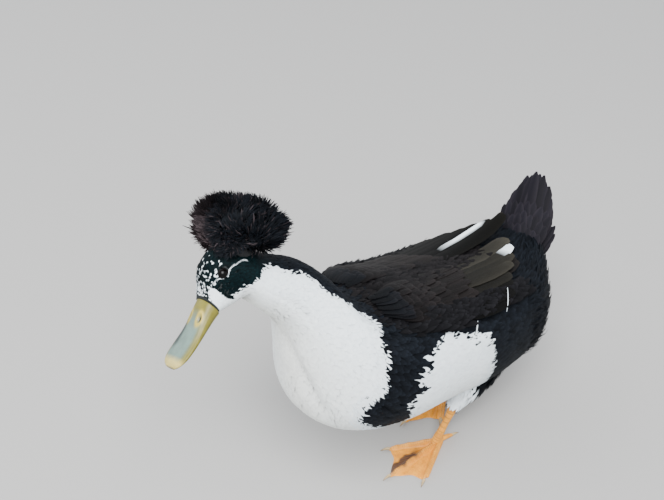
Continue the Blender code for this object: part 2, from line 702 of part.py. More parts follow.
def colour(obj):
    kind = obj.name.split("_")[0]
    red, green, blue, roughness = COLOURS[kind]
    material = bpy.data.materials.get(kind) or bpy.data.materials.new(kind)
    material.use_nodes = True
    shader = material.node_tree.nodes["Principled BSDF"]
    shader.inputs["Base Color"].default_value = (red, green, blue, 1.0)
    shader.inputs["Roughness"].default_value = roughness
    obj.data.materials.clear()
    obj.data.materials.append(material)


def build():
    remove(list(bpy.data.objects))
    torso = make_torso()
    make_neck()
    make_head()
    make_eyes()
    make_crest()
    make_bill()
    make_wing(1, "wing_left")
    make_wing(-1, "wing_right")
    make_tail()
    for side in LEGS:
        make_leg(side, torso)
    duck = bpy.data.collections.new("crested_duck")
    bpy.context.scene.collection.children.link(duck)
    for obj in list(bpy.context.scene.collection.objects):
        duck.objects.link(obj)
        bpy.context.scene.collection.objects.unlink(obj)
        colour(obj)


build()
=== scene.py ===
import math

import bpy
import numpy as np
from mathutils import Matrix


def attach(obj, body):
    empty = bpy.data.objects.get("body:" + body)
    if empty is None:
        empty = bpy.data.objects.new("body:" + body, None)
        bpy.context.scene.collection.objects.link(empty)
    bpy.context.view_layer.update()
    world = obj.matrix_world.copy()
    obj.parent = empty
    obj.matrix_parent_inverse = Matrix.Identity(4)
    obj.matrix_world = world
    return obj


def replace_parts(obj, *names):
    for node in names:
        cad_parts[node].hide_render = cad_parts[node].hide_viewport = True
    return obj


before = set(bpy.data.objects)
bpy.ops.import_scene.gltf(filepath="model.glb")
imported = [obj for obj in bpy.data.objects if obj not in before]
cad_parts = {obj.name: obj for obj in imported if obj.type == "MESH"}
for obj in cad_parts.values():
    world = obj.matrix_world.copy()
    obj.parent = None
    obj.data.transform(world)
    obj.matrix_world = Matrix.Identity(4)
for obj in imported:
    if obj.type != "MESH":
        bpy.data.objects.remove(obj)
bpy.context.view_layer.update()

# The skin: one warm body from the tail stump over the back, breast and neck to the root of the bill,
# with the fleshy thighs and the cushion of tissue on the skull that carries the crest. It is one
# mesh that lies under the solids by the depth of the coat, so that the feather tips end at them.

MM = 0.001
MIDDLE = (23.98, -7.08)                   # the place that stands over the origin, forward and left
# The solids' own sections, in millimetres.
BODY = (
    # forward, left, up, reach up, down and sideways, lean back, turn, roll
    (-182, -8, 154, 9, 14, 22, -38, 8, 0),
    (-158, -2, 143, 22, 45, 44, -30, 4, 3),
    (-115, 4, 137, 32, 84, 70, -16, 0, 7),
    (-60, 2, 138, 39, 90, 80, -4, 0, 8),
    (5, 0, 145, 49, 79, 82, 7, 0, 6),
    (55, 0, 160, 54, 83, 80, 20, 0, 3),
    (87, -1, 182, 45, 84, 72, 38, -2, 2),
    (107, -6, 211, 25, 57, 55, 50, -8, 6),
    (127, -13, 239, 27, 35, 37, 52, -12, 10),
    (149, -20, 260, 29, 25, 28, 46, -10, 14),
)
HEAD_AT = np.array((198.5, -36.0, 291.5))
HEAD_TURN, HEAD_NOD, HEAD_ROLL = 6, -24, 22
HEAD = (
    # forward and up from the head's middle, reach up, down and sideways, lean back
    (-16, -26, 26, 22, 25, 60),
    (-12, -11, 27, 20, 24.5, 38),
    (-4, -2, 27, 23, 22, 15),
    (8, -1, 23, 21, 19, 0),
    (18, -3, 15.5, 15, 16.5, -3),
    (27, -4.5, 9.5, 9.5, 13, 0),
)
T_NECK, T_HEAD, T_BILL = 7.0, 10.0, 15.0   # where the neck and the head start, and the bill's root
SQUARENESS = 0.90                         # below 1, a section is squarer than an oval
# The depth of the coat over the skin, from the tail stump to the bill.
COAT_T = (0.0, 1.0, 3.0, 6.0, 7.5, 9.5, 10.5, 12.5, 14.0, 15.0)
COAT_DEPTH = (2.0, 3.2, 4.2, 4.2, 3.6, 2.8, 2.2, 1.5, 1.0, 0.6)


def turned(turn, nod, roll):
    """The forward, left and up directions of something turned left, tipped up and rolled."""
    turn, nod, roll = (math.radians(angle) for angle in (turn, nod, roll))
    ahead = np.array((math.cos(nod) * math.cos(turn), math.cos(nod) * math.sin(turn), math.sin(nod)))
    level = np.array((-math.sin(turn), math.cos(turn), 0.0))
    upright = np.cross(ahead, level)
    left = math.cos(roll) * level + math.sin(roll) * upright
    return ahead, left, np.cross(ahead, left)


HEAD_FRAME = turned(HEAD_TURN, HEAD_NOD, HEAD_ROLL)


def on_head(ahead, left, up):
    """The place of a point, or of rows of points, given in the head's own frame."""
    spots = [np.multiply.outer(reach, side) for reach, side in zip((ahead, left, up), HEAD_FRAME)]
    return HEAD_AT + spots[0] + spots[1] + spots[2]


def body_sections():
    """One row for each section: its place, its up and left directions and its three reaches."""
    rows = []
    for ahead, left, up, top, under, side, lean, turn, roll in BODY:
        raised = turned(turn, lean, roll)
        rows.append((ahead, left, up, *raised[2], *raised[1], top, under, side))
    for ahead, up, top, under, side, lean in HEAD:
        lean = math.radians(lean)
        raised = math.cos(lean) * HEAD_FRAME[2] - math.sin(lean) * HEAD_FRAME[0]
        rows.append((*on_head(ahead, 0.0, up), *raised, *HEAD_FRAME[1], top, under, side))
    return np.array(rows, float)


SECTIONS = body_sections()
# Soft creases in the plumage: between the two lobes of the breast, and where the neck meets it. Each
# has its line as t and angle, its depth as a share of the body's reach, and its width in degrees.
CREASES = (
    ((6.0, 6.4, 6.8, 7.2, 7.65, 8.1), (-70, -70, -76, -81, -86, -88), 0.060, 9.0),
    ((8.2, 8.6, 8.95, 9.3, 9.6), (-26, -24, -20, -10, 0), 0.045, 9.0),
)
CREASE_RUN = 0.85                         # the share of a crease's length that has its full depth


def crease(t, angle):
    """How much of its reach the body gives up in the creases."""
    given_up = np.zeros(np.shape(t))
    for along, around, depth, width in CREASES:
        middle, half = 0.5 * (along[0] + along[-1]), 0.5 * (along[-1] - along[0])
        aside = (angle - np.interp(t, along, around) + 180.0) % 360.0 - 180.0
        given_up += depth * np.exp(-(aside / width) ** 2 - ((t - middle) / (CREASE_RUN * half)) ** 4)
    return given_up


def length_of(vectors):
    """The length of each vector, kept as a last axis of one."""
    return np.linalg.norm(vectors, axis=-1, keepdims=True)


def unit(vectors):
    """The same directions, each one long."""
    return vectors / np.maximum(length_of(vectors), 1e-9)


def eased(s, start, out, end, into):
    """A smooth curve from start to end, which leaves along out and arrives along into."""
    return ((2 * s**3 - 3 * s**2 + 1) * start + (s**3 - 2 * s**2 + s) * out
            + (3 * s**2 - 2 * s**3) * end + (s**3 - s**2) * into)


def section_point(t, angle):
    """Points of the solids' body at t along it and angle degrees round it from its left side."""
    t, angle = np.broadcast_arrays(np.asarray(t, float), np.asarray(angle, float))
    last = len(SECTIONS) - 1
    t = np.clip(t, 0.0, last)
    i = np.minimum(t.astype(int), last - 1)
    s = (t - i)[..., None]
    before, start = SECTIONS[np.maximum(i - 1, 0)], SECTIONS[i]
    end, after = SECTIONS[i + 1], SECTIONS[np.minimum(i + 2, last)]
    out = np.where((i > 0)[..., None], 0.5 * (end - before), end - start)
    into = np.where((i < last - 1)[..., None], 0.5 * (after - start), end - start)
    row = eased(s, start, out, end, into)
    raised = unit(row[..., 3:6])
    left = unit(row[..., 6:9] - (row[..., 6:9] * raised).sum(-1, keepdims=True) * raised)
    c, s = np.cos(np.radians(angle)), np.sin(np.radians(angle))
    across = row[..., 11] * np.sign(c) * np.abs(c) ** SQUARENESS
    height = np.where(s > 0, row[..., 9], row[..., 10]) * np.sign(s) * np.abs(s) ** SQUARENESS
    reach = (1.0 - crease(t, angle))[..., None]
    return row[..., 0:3] + reach * (across[..., None] * left + height[..., None] * raised)


THROAT = (9.0, 11.1)                      # where the skin spans the bend under the head
THROAT_SIDES, THROAT_FADE = 100, 45       # how far round it does, in degrees, and over how many it fades
THROAT_PULL = 0.5                         # how far the span keeps to the slopes at its two ends
T_NEAR = 0.05                             # how close beside its ends their slopes are taken


def body_point(t, angle):
    """The same, with the hollow of the throat spanned by one smooth curve."""
    t, angle = np.broadcast_arrays(np.asarray(t, float), np.asarray(angle, float))
    points = section_point(t, angle)
    below = np.abs((angle + 270.0) % 360.0 - 180.0)
    near = (t > THROAT[0]) & (t < THROAT[1]) & (below < THROAT_SIDES)
    if np.any(near):
        reach = THROAT[1] - THROAT[0]
        s, around = ((t[near] - THROAT[0]) / reach)[:, None], angle[near]
        start, end = section_point(THROAT[0], around), section_point(THROAT[1], around)
        out = (start - section_point(THROAT[0] - T_NEAR, around)) / T_NEAR * THROAT_PULL * reach
        into = (section_point(THROAT[1] + T_NEAR, around) - end) / T_NEAR * THROAT_PULL * reach
        share = np.clip((THROAT_SIDES - below[near]) / THROAT_FADE, 0, 1)[:, None]
        share = share * share * (3 - 2 * share)
        points[near] = points[near] * (1 - share) + eased(s, start, out, end, into) * share
    return points


T_STEP, ANGLE_STEP = 0.02, 1.5            # how far apart points are compared for a slope


def body_slopes(t, angle):
    """How a point moves with t and with angle, and the direction straight out of the body."""
    t, angle = np.broadcast_arrays(np.asarray(t, float), np.asarray(angle, float))
    t = np.clip(t, T_STEP, T_BILL - T_STEP)
    along = (body_point(t + T_STEP, angle) - body_point(t - T_STEP, angle)) / (2 * T_STEP)
    around = (body_point(t, angle + ANGLE_STEP) - body_point(t, angle - ANGLE_STEP)) / (2 * ANGLE_STEP)
    out = unit(np.cross(around, along))
    # Where the sections crowd in the bend of the throat, out still points away from the far side.
    away = body_point(t, angle) - body_point(t, angle + 180.0)
    return along, around, out * np.where((out * away).sum(-1, keepdims=True) < 0, -1.0, 1.0)


def over_body(t, angle, lift):
    """Points lifted straight off the body by so many millimetres."""
    return body_point(t, angle) + np.asarray(lift, float)[..., None] * body_slopes(t, angle)[2]


def coat_depth(t):
    """How deep the feathers are over the skin."""
    return np.interp(t, COAT_T, COAT_DEPTH)


def placed(points):
    """Places in metres in the world, from forward, left and up in millimetres."""
    points = np.asarray(points, float)
    return np.stack((points[..., 1] - MIDDLE[1], MIDDLE[0] - points[..., 0], points[..., 2]), -1) * MM


def make_mesh(name, points, triangles, tint, bake, vane=None, normals=None):
    """An object from points in millimetres, with a colour at each point and its UV maps."""
    corners = points[triangles]
    if np.einsum("ij,ij->", corners[:, 0], np.cross(corners[:, 1], corners[:, 2])) < 0:
        triangles = triangles[:, ::-1]
    mesh = bpy.data.meshes.new(name)
    mesh.vertices.add(len(points))
    mesh.vertices.foreach_set("co", placed(points).ravel())
    mesh.loops.add(triangles.size)
    mesh.loops.foreach_set("vertex_index", triangles.ravel())
    mesh.polygons.add(len(triangles))
    mesh.polygons.foreach_set("loop_start", np.arange(0, triangles.size, 3))
    mesh.polygons.foreach_set("use_smooth", np.ones(len(triangles), bool))
    mesh.update(calc_edges=True)
    colours = mesh.color_attributes.new("Tint", "FLOAT_COLOR", "POINT")
    colours.data.foreach_set("color", np.column_stack((tint, np.ones(len(points)))).ravel())
    for title, places in (("OFBake", bake), ("Vane", vane)):
        if places is not None:
            layer = mesh.uv_layers.new(name=title)
            layer.uv.foreach_set("vector", places[triangles.ravel()].ravel())
    if normals is not None:
        world = placed(normals) - placed(np.zeros(3))
        mesh.normals_split_custom_set_from_vertices(unit(world))
    obj = bpy.data.objects.new(name, mesh)
    bpy.context.scene.collection.objects.link(obj)
    return obj


def grid_triangles(rows, columns, wrapped=True):
    """The triangles of a grid of points, closed round its columns where it is wrapped."""
    across = columns if wrapped else columns - 1
    i, j = np.meshgrid(np.arange(rows - 1), np.arange(across), indexing="ij")
    j_next = (j + 1) % columns
    a, b = i * columns + j, i * columns + j_next
    c, d = (i + 1) * columns + j_next, (i + 1) * columns + j
    return np.concatenate((np.stack((a, b, c), -1).reshape(-1, 3), np.stack((a, c, d), -1).reshape(-1, 3)))


def cap_triangles(rim, centre, flipped):
    """A fan from a centre point to a closed rim."""
    after = np.roll(rim, -1)
    fan = np.column_stack((np.full(len(rim), centre), rim, after))
    return fan[:, ::-1] if flipped else fan


def closed_grid(name, rings, tint, bake):
    """A closed body through rings of as many points each, with a fan over each end."""
    rows, columns = rings.shape[:2]
    points = np.concatenate((rings.reshape(-1, 3), rings[0].mean(0)[None], rings[-1].mean(0)[None]))
    ids = np.arange(rows * columns).reshape(rows, columns)
    triangles = np.concatenate((
        grid_triangles(rows, columns),
        cap_triangles(ids[0], rows * columns, True), cap_triangles(ids[-1], rows * columns + 1, False)))
    tint = np.concatenate((tint.reshape(-1, 3), tint[0, :1], tint[-1, :1]))
    bake = np.concatenate((bake.reshape(-1, 2), bake[0, :1], bake[-1, :1]))
    return make_mesh(name, points, triangles, tint, bake)


# The markings: black on the crown, face, back and rear, and white on the cheeks, throat, neck and
# breast and in a patch on each flank. Each edge is a curve over the body, and the sides mirror.
WHITE, BLACK = np.array((0.80, 0.87, 0.90)), np.array((0.0027, 0.0035, 0.0049))
# The colour that the white turns towards underneath: a cream tone with painted shade.
CREAM_AND_SHADE, CREAM_AND_SHADE_SHARE = np.array((0.80, 0.77, 0.66)), 0.5
CROWN, CROWN_T = np.array((0.0008, 0.0038, 0.0045)), (9.5, 11.0)
# The edge of the white breast: t at each angle up from the belly.
BREAST_ANGLE = (-90, -65, -52, -46, -40, -30, -22, -14, -8, -2, 4, 12, 20, 32, 46, 50, 90)
BREAST_EDGE = (2.6, 4.6, 5.5, 6.05, 6.25, 6.35, 6.3, 6.32, 6.45, 6.6, 6.75, 6.92, 7.0, 6.95, 6.95, 7.2, 7.6)
# The edge of the black nape and face: the angle at each t.
FACE_T = (7.2, 7.75, 8.15, 8.5, 8.8, 9.1, 9.4, 9.65, 9.9, 10.25, 10.6, 10.8, 11.65, 12.35, 13.4, 13.75,
          13.9, 13.95, 14.15, 14.45, 14.85, 15.0)
FACE_EDGE = (48, 38, 33, 30, 34, 41, 36, 36, 44, 40, 20, 2, -14, -24, -24, -14,
             30, 62, 66, 62, 42, 22)
# The white patch on the flank: where it starts and ends along the body at each angle.
PATCH_ANGLE = (-62, -48, -42, -34, -20, -10, -4, 0, 12, 18, 24, 29)
PATCH_REAR = (3.5, 3.5, 3.5, 3.55, 3.55, 3.6, 3.65, 3.7, 3.8, 4.1, 4.35, 4.7)
PATCH_FRONT = (5.2, 5.05, 4.9, 5.2, 5.45, 5.15, 5.6, 5.45, 5.2, 5.5, 5.1, 4.7)
# How far single feathers stray over the edges: in degrees at each t, and in t on breast and flank.
STRAY_T, STRAY_ANGLE = (9, 11, 13, 14), (3, 3, 2, 2)
STRAY_BREAST, STRAY_PATCH, STRAY_LIMIT = 0.07, 0.05, 1.5
# Small spots that break up the edge on the face: their size, and how many degrees they shift it by.
SPOT_SIZE, SPOT_T, SPOT_SHIFT = 2.0, (10.5, 12.0, 13.2, 14.0), (0, 4, 18, 26)
# White dots above the bill, from this angle up, and along the lower edge of the face.
DOT_ANGLE, DOT_T, DOT_CHANCE = 40, (12.2, 13.2, 13.8, 14.3, 14.7), (0.02, 0.08, 0.25, 0.5, 0.65)
RIM_DOT_T, RIM_DOT_REACH, RIM_DOT_CHANCE = (12.1, 13.7), 16, 0.45
# The thin black line that runs down to the corner of the bill, and the black rim at its root.
LINE_START, LINE_T, LINE_ANGLE, LINE_HALF = 13.7, (13.75, 14.15, 14.65), (74, 68, 58), 5
ROOT_RIM = 14.85


def mirrored(angle):
    """The angle up from the belly, from -90 to 90, whichever side it is on."""
    angle = (np.asarray(angle, float) + 180.0) % 360.0 - 180.0
    return np.where(np.abs(angle) > 90, np.sign(angle) * 180 - angle, angle)


def speckled(t, angle, size):
    """A value from 0 to 1 for each small spot of the plumage."""
    spot = np.floor(body_point(t, angle) / size)
    return np.modf(np.abs(np.sin(spot @ np.array((12.99, 78.23, 37.72)))) * 4375.85)[0]


def whiteness(t, angle, draw=None):
    """1 where the plumage is white and 0 where it is black, with a ragged edge where drawn."""
    t, angle = np.broadcast_arrays(np.asarray(t, float), np.asarray(angle, float))
    stray = np.zeros(t.shape)
    if draw is not None:
        stray = np.clip(draw.normal(0, 1, t.shape), -STRAY_LIMIT, STRAY_LIMIT)
    height, face_edge = mirrored(angle), np.interp(t, FACE_T, FACE_EDGE)
    shift = np.interp(t, SPOT_T, SPOT_SHIFT) * (speckled(t, angle, SPOT_SIZE) - 0.5)
    on_neck = face_edge > height + stray * np.interp(t, STRAY_T, STRAY_ANGLE) + shift
    breast = t + STRAY_BREAST * stray > np.interp(height, BREAST_ANGLE, BREAST_EDGE)
    rear, front = np.interp(height, PATCH_ANGLE, PATCH_REAR), np.interp(height, PATCH_ANGLE, PATCH_FRONT)
    middle = 0.5 * (rear + front)
    patch = np.abs(t - middle) + STRAY_PATCH * stray < front - middle
    patch = patch & (height > PATCH_ANGLE[0]) & (height < PATCH_ANGLE[-1])
    white = np.where(t > FACE_T[0], on_neck & breast, breast | patch)
    if draw is not None:
        chance = draw.uniform(0, 1, t.shape)
        white = white | ((t > DOT_T[0]) & (height > DOT_ANGLE) & (chance < np.interp(t, DOT_T, DOT_CHANCE)))
        above = (height - face_edge) / RIM_DOT_REACH
        near = (t > RIM_DOT_T[0]) & (t < RIM_DOT_T[1]) & (above < 1)
        white = white | (near & (chance < RIM_DOT_CHANCE * (1 - above)))
    line = (t > LINE_START) & (np.abs(height - np.interp(t, LINE_T, LINE_ANGLE)) < LINE_HALF)
    return (white & (t < ROOT_RIM) & ~line).astype(float)


def plumage(t, angle, draw=None):
    """The colour of the plumage at a place on the body."""
    white = whiteness(t, angle, draw)[..., None]
    crown = np.clip((np.asarray(t, float) - CROWN_T[0]) / (CROWN_T[1] - CROWN_T[0]), 0, 1)[..., None]
    dark = BLACK * (1 - crown) + CROWN * crown
    # The white is creamier and darker low on the belly and throat: a cream tone with painted shade under the
    # body.
    low = np.clip(-mirrored(angle) / 90.0, 0, 1)[..., None]
    return white * (WHITE * (1 - CREAM_AND_SHADE_SHARE * low) + CREAM_AND_SHADE * CREAM_AND_SHADE_SHARE * low) + (1 - white) * dark


SKIN_ROWS, SKIN_SIDES = 240, 120
THIGH_ROWS, THIGH_SIDES, THIGH_SPAN = 24, 32, (0.02, 1.15)
# Thighs: hock and hip, where the sections stand between them, and the radii of flesh and of coat.
THIGHS = (((-26, 44, 48), (-76, 45, 86)), ((-100, -22, 46), (-88, -42, 88)))
THIGH_RUN = (-0.1, 0.0, 0.25, 0.6, 1.0, 1.15)
THIGH_FLESH, THIGH_COAT = (5.6, 6.6, 12.5, 17.5, 19.0, 14.5), (7.4, 9.0, 16.4, 21.4, 22.8, 18.4)
THIGH_WHITE = 0.4                         # how far up from the hock the skin is white
CUSHION_AT, CUSHION_REACH = (-25, 0, 12), (15, 21, 17)


def uv_of(t, angle):
    """The place on the unwrapped skin."""
    return np.stack((0.01 + 0.97 * t / T_BILL, 0.01 + 0.97 * (angle % 360.0) / 360.0), -1)


def ball_angles(rows, sides, gap):
    """The angles down from one pole of a ball and round it, with a small gap left at the poles."""
    down, around = np.linspace(gap, np.pi - gap, rows), np.linspace(0, 2 * np.pi, sides, endpoint=False)
    return np.meshgrid(down, around, indexing="ij")


def join(name, *objects):
    """Several meshes as one, which keeps the first one's finish."""
    with bpy.context.temp_override(active_object=objects[0], selected_editable_objects=list(objects)):
        bpy.ops.object.join()
    objects[0].name = name
    return objects[0]


def thigh_point(hock, hip, share, around, coat):
    """Points over a thigh and the way out of it: how far up from the hock, and how deep in the coat."""
    hock, hip = np.array(hock, float), np.array(hip, float)
    run = unit(hip - hock)
    across = unit(np.cross((1.0, 0.0, 0.0), run))
    raised = np.cross(run, across)
    a = np.radians(around)[..., None]
    out = np.cos(a) * across + np.sin(a) * raised
    flesh, surface = np.interp(share, THIGH_RUN, THIGH_FLESH), np.interp(share, THIGH_RUN, THIGH_COAT)
    reach = flesh * (1 - coat) + surface * coat
    return hock + share[..., None] * (hip - hock) + reach[..., None] * out, out


def make_skin():
    """The body, both thighs and the cushion as one mesh."""
    t = np.linspace(0.0, T_BILL, SKIN_ROWS)[:, None]
    angle = (360.0 * np.arange(SKIN_SIDES) / SKIN_SIDES)[None]
    t, angle = np.broadcast_arrays(t, angle)
    surface = over_body(t, angle, -coat_depth(t))
    parts = [closed_grid("duck_skin", surface, plumage(t, angle), uv_of(t, angle))]
    for hock, hip in THIGHS:
        share, around = np.meshgrid(np.linspace(*THIGH_SPAN, THIGH_ROWS),
                                    np.linspace(0, 360, THIGH_SIDES, endpoint=False), indexing="ij")
        rings = thigh_point(hock, hip, share, around, 0.0)[0]
        tint = np.where((share < THIGH_WHITE)[..., None], WHITE, BLACK)
        parts.append(closed_grid("thigh", rings, tint, np.full((*share.shape, 2), 0.25)))
    a, b = ball_angles(24, 40, 0.02)
    ball = zip(CUSHION_AT, CUSHION_REACH, (np.sin(a) * np.cos(b), np.sin(a) * np.sin(b), np.cos(a)))
    rings = on_head(*(middle + reach * share for middle, reach, share in ball))
    tint = np.broadcast_to(BLACK, rings.shape)
    parts.append(closed_grid("cushion", rings, tint, np.full((*a.shape, 2), 0.75)))
    return join("duck_skin", *parts)


def blend(tree, mode, first, second, factor=1.0):
    """A colour mix node of two sockets or colours, with a socket or a number as its factor."""
    node = tree.nodes.new("ShaderNodeMix")
    node.data_type, node.blend_type = "RGBA", mode
    for socket, value in ((0, factor), (6, first), (7, second)):
        if isinstance(value, bpy.types.NodeSocket):
            tree.links.new(value, node.inputs[socket])
        else:
            node.inputs[socket].default_value = (*value, 1.0) if socket else value
    return node.outputs[2]


def noise(tree, scale, detail=3.0, stretch=(1, 1, 1)):
    """A noise over the object's own space."""
    source = tree.nodes.new("ShaderNodeTexCoord").outputs["Object"]
    scaled = tree.nodes.new("ShaderNodeMapping")
    scaled.inputs["Scale"].default_value = stretch
    tree.links.new(source, scaled.inputs["Vector"])
    node = tree.nodes.new("ShaderNodeTexNoise")
    node.inputs["Scale"].default_value, node.inputs["Detail"].default_value = scale, detail
    tree.links.new(scaled.outputs["Vector"], node.inputs["Vector"])
    return node.outputs["Fac"]


def ramp(tree, source, *stops):
    """Colours that follow a value, each stop with its place and colour."""
    node = tree.nodes.new("ShaderNodeValToRGB")
    tree.links.new(source, node.inputs["Fac"])
    ends = node.color_ramp.elements
    while len(ends) < len(stops):
        ends.new(0.5)
    for end, (place, colour) in zip(ends, stops):
        end.position, end.color = place, (*colour, 1.0)
    return node.outputs["Color"]


def bump(tree, shader, height, strength, distance):
    """Small relief on a finish, from a height."""
    node = tree.nodes.new("ShaderNodeBump")
    node.inputs["Strength"].default_value, node.inputs["Distance"].default_value = strength, distance
    tree.links.new(height, node.inputs["Height"])
    tree.links.new(node.outputs["Normal"], shader.inputs["Normal"])


def new_finish(name, roughness, **sockets):
    """A material with its node tree, its shader and the colour painted on the mesh."""
    material = bpy.data.materials.new(name)
    material.use_nodes = True
    tree = material.node_tree
    shader = tree.nodes["Principled BSDF"]
    shader.inputs["Roughness"].default_value = roughness
    for title, value in sockets.items():
        shader.inputs[title.replace("_", " ")].default_value = value
    painted = tree.nodes.new("ShaderNodeVertexColor")
    painted.layer_name = "Tint"
    return material, tree, shader, painted.outputs["Color"]


def mottle(tree, shader, tint, marks):
    """The painted colour with marks over it, as the colour of the finish."""
    tree.links.new(blend(tree, "MULTIPLY", tint, marks), shader.inputs["Base Color"])


def skin_finish():
    """Matt, faintly mottled skin in the colour of the plumage over it."""
    material, tree, shader, tint = new_finish("skin_under_feathers", 0.8)
    marks = ramp(tree, noise(tree, 300.0), (0.3, (0.86, 0.86, 0.86)), (0.7, (1.0, 1.0, 1.0)))
    mottle(tree, shader, tint, marks)
    bump(tree, shader, noise(tree, 900.0), 0.4, 0.0004)
    return material


skin = make_skin()
skin.data.materials.append(skin_finish())
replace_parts(skin, "torso", "neck", "head", "thigh_left", "thigh_right")
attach(skin, "root")

# Contour feathers: the small overlapping feathers that cover the body, each rooted in the skin
# and lying back over the next one. They are largest on the back and flanks, and tiny on the face.
# Their barbs run slantwise from the shaft, and the dark ones get a painted blue and green sheen edge on.

VANE_RUN = 40.0                           # millimetres along a vane for one length of its map
BARBS, BARB_SLANT = 60.0, -26.0           # barbs in that length, and how many of them one leans over
FULL_TURN = 6.283                         # one barb, in radians


def arithmetic(tree, operation, *values):
    """A node that works out one value from sockets or numbers."""
    node = tree.nodes.new("ShaderNodeMath")
    node.operation = operation
    for socket, value in enumerate(values):
        if isinstance(value, bpy.types.NodeSocket):
            tree.links.new(value, node.inputs[socket])
        else:
            node.inputs[socket].default_value = value
    return node.outputs[0]


def feather_finish(name, roughness, painted_gloss, **sockets):
    """Feathers with slanting barbs and a painted sheen: the gloss colour is added to their colour edge on."""
    material, tree, shader, tint = new_finish(name, roughness, **sockets)
    uv = tree.nodes.new("ShaderNodeUVMap")
    uv.uv_map = "Vane"
    parts = tree.nodes.new("ShaderNodeSeparateXYZ")
    tree.links.new(uv.outputs["UV"], parts.inputs["Vector"])
    across = arithmetic(tree, "ABSOLUTE", arithmetic(tree, "SUBTRACT", parts.outputs["X"], 0.5))
    along = arithmetic(tree, "MULTIPLY", parts.outputs["Y"], BARBS)
    slant = arithmetic(tree, "ADD", along, arithmetic(tree, "MULTIPLY", across, BARB_SLANT))
    wave = arithmetic(tree, "SINE", arithmetic(tree, "MULTIPLY", slant, FULL_TURN))
    barbs = arithmetic(tree, "MULTIPLY_ADD", wave, 0.5, 0.5)
    patches = ramp(tree, noise(tree, 240.0, 4.0), (0.25, (0.92, 0.92, 0.93)), (0.75, (1.04, 1.04, 1.03)))
    colour = blend(tree, "MULTIPLY", tint, patches)
    stripes = ramp(tree, barbs, (0.1, (0.94, 0.94, 0.95)), (0.6, (1, 1, 1)))
    colour = blend(tree, "MULTIPLY", colour, stripes)
    facing = tree.nodes.new("ShaderNodeLayerWeight")
    facing.inputs["Blend"].default_value = 0.35
    # Painted sheen: the gloss colour is added to the base colour, more of it edge on.
    painted_sheen = arithmetic(tree, "MULTIPLY", facing.outputs["Facing"], 0.6)
    tree.links.new(blend(tree, "ADD", colour, painted_gloss, painted_sheen), shader.inputs["Base Color"])
    bump(tree, shader, barbs, 0.18, 0.0002)
    return material


COAT = feather_finish("plumage", 0.60, (0.0006, 0.0010, 0.0020), Specular_IOR_Level=0.05)
# How a vane's section runs round: the place across it, and 1 on its underside.
BROAD = ((-1.0, 0), (-0.55, 0), (0.0, 0), (0.55, 0), (1.0, 0), (0.5, 1), (-0.5, 1))
SMALL = ((-1.0, 0), (0.0, 0), (1.0, 0), (0.0, 1))
NARROW = ((-1.0, 0), (1.0, 0), (0.0, 1))
SHARP = math.radians(60)                  # edges of broad vanes beyond this angle stay crisp


def vane_mesh(name, middles, sides, outs, halves, thick, tint, bake, finish, section=SMALL, soft=0.8,
              curl=0.35, facing=None):
    """Feathers as thin closed vanes: each has a row of middles, the way across and the way out."""
    count, rows = halves.shape
    across, under = zip(*section)
    columns = len(across)
    points = np.zeros((count, rows, columns, 3))
    vane = np.zeros((count, rows, columns, 2))
    run = np.concatenate((np.zeros((count, 1)), np.cumsum(length_of(np.diff(middles, axis=1))[..., 0], 1)), 1)
    for j, (x, low) in enumerate(zip(across, under)):
        rise = curl * halves * (1 - x * x) - low * thick
        points[:, :, j] = middles + (x * halves)[..., None] * sides + rise[..., None] * outs
        vane[:, :, j, 0], vane[:, :, j, 1] = 0.5 + 0.5 * x, run / VANE_RUN
    size = rows * columns
    ids = np.arange(size).reshape(rows, columns)
    template = [grid_triangles(rows, columns)]
    for rim, flipped in ((ids[0], True), (ids[-1], False)):
        fan = np.array([(rim[0], rim[k], rim[k + 1]) for k in range(1, columns - 1)])
        template.append(fan[:, ::-1] if flipped else fan)
    triangles = np.concatenate(template)[None] + size * np.arange(count)[:, None, None]
    along = np.broadcast_to((np.arange(rows) / (rows - 1))[None, :, None], vane.shape[:3])
    bake = bake[:, None, None] + 0.003 * (np.stack((vane[..., 0], along), -1) - 0.5)
    normals = None
    if section != BROAD:
        facing = outs if facing is None else facing
        tilted = (1 - soft) * np.array(across)[None, None, :, None] * sides[:, :, None]
        normals = (soft * facing[:, :, None] + tilted).reshape(-1, 3)
    obj = make_mesh(name, points.reshape(-1, 3), triangles.reshape(-1, 3),
                    np.broadcast_to(tint, points.shape).reshape(-1, 3), bake.reshape(-1, 2),
                    vane.reshape(-1, 2), normals)
    if section == BROAD:
        obj.data.set_sharp_from_angle(angle=SHARP)
    obj.data.materials.append(finish)
    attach(obj, "root")
    return obj


def scattered(start, end, row_gap, side_gap, draw):
    """Places in staggered rows over the body, thinned where the rows crowd together."""
    fine, rim_angles = np.linspace(start, end, 400), np.arange(0.0, 361.0, 2.0)
    step = length_of(body_slopes(fine[:, None], np.arange(0.0, 360.0, 3.0)[None])[0])[..., 0]
    widest = step.max(1)
    arc = np.concatenate(((0,), np.cumsum(0.5 * (widest[1:] + widest[:-1]) * np.diff(fine))))
    rows = max(2, int(arc[-1] / row_gap))
    places = []
    for k, t in enumerate(np.interp((np.arange(rows) + 0.5) / rows * arc[-1], arc, fine)):
        rim = body_point(t, rim_angles)
        around = np.concatenate(((0,), np.cumsum(length_of(np.diff(rim, axis=0))[:, 0])))
        count = int(around[-1] / side_gap)
        spot = (np.arange(count) + 0.5 * (k % 2) + draw.uniform(-0.25, 0.25, count)) / count * around[-1]
        angle = np.interp(spot % around[-1], around, rim_angles)
        here = length_of(body_slopes(t, angle)[0])[..., 0]
        kept = draw.uniform(0, 1, count) < here / np.interp(t, fine, widest)
        wobble = draw.uniform(-0.4, 0.4, count) * row_gap / here
        places.append(np.column_stack((np.full(count, t) + wobble, angle))[kept])
    return np.concatenate(places)


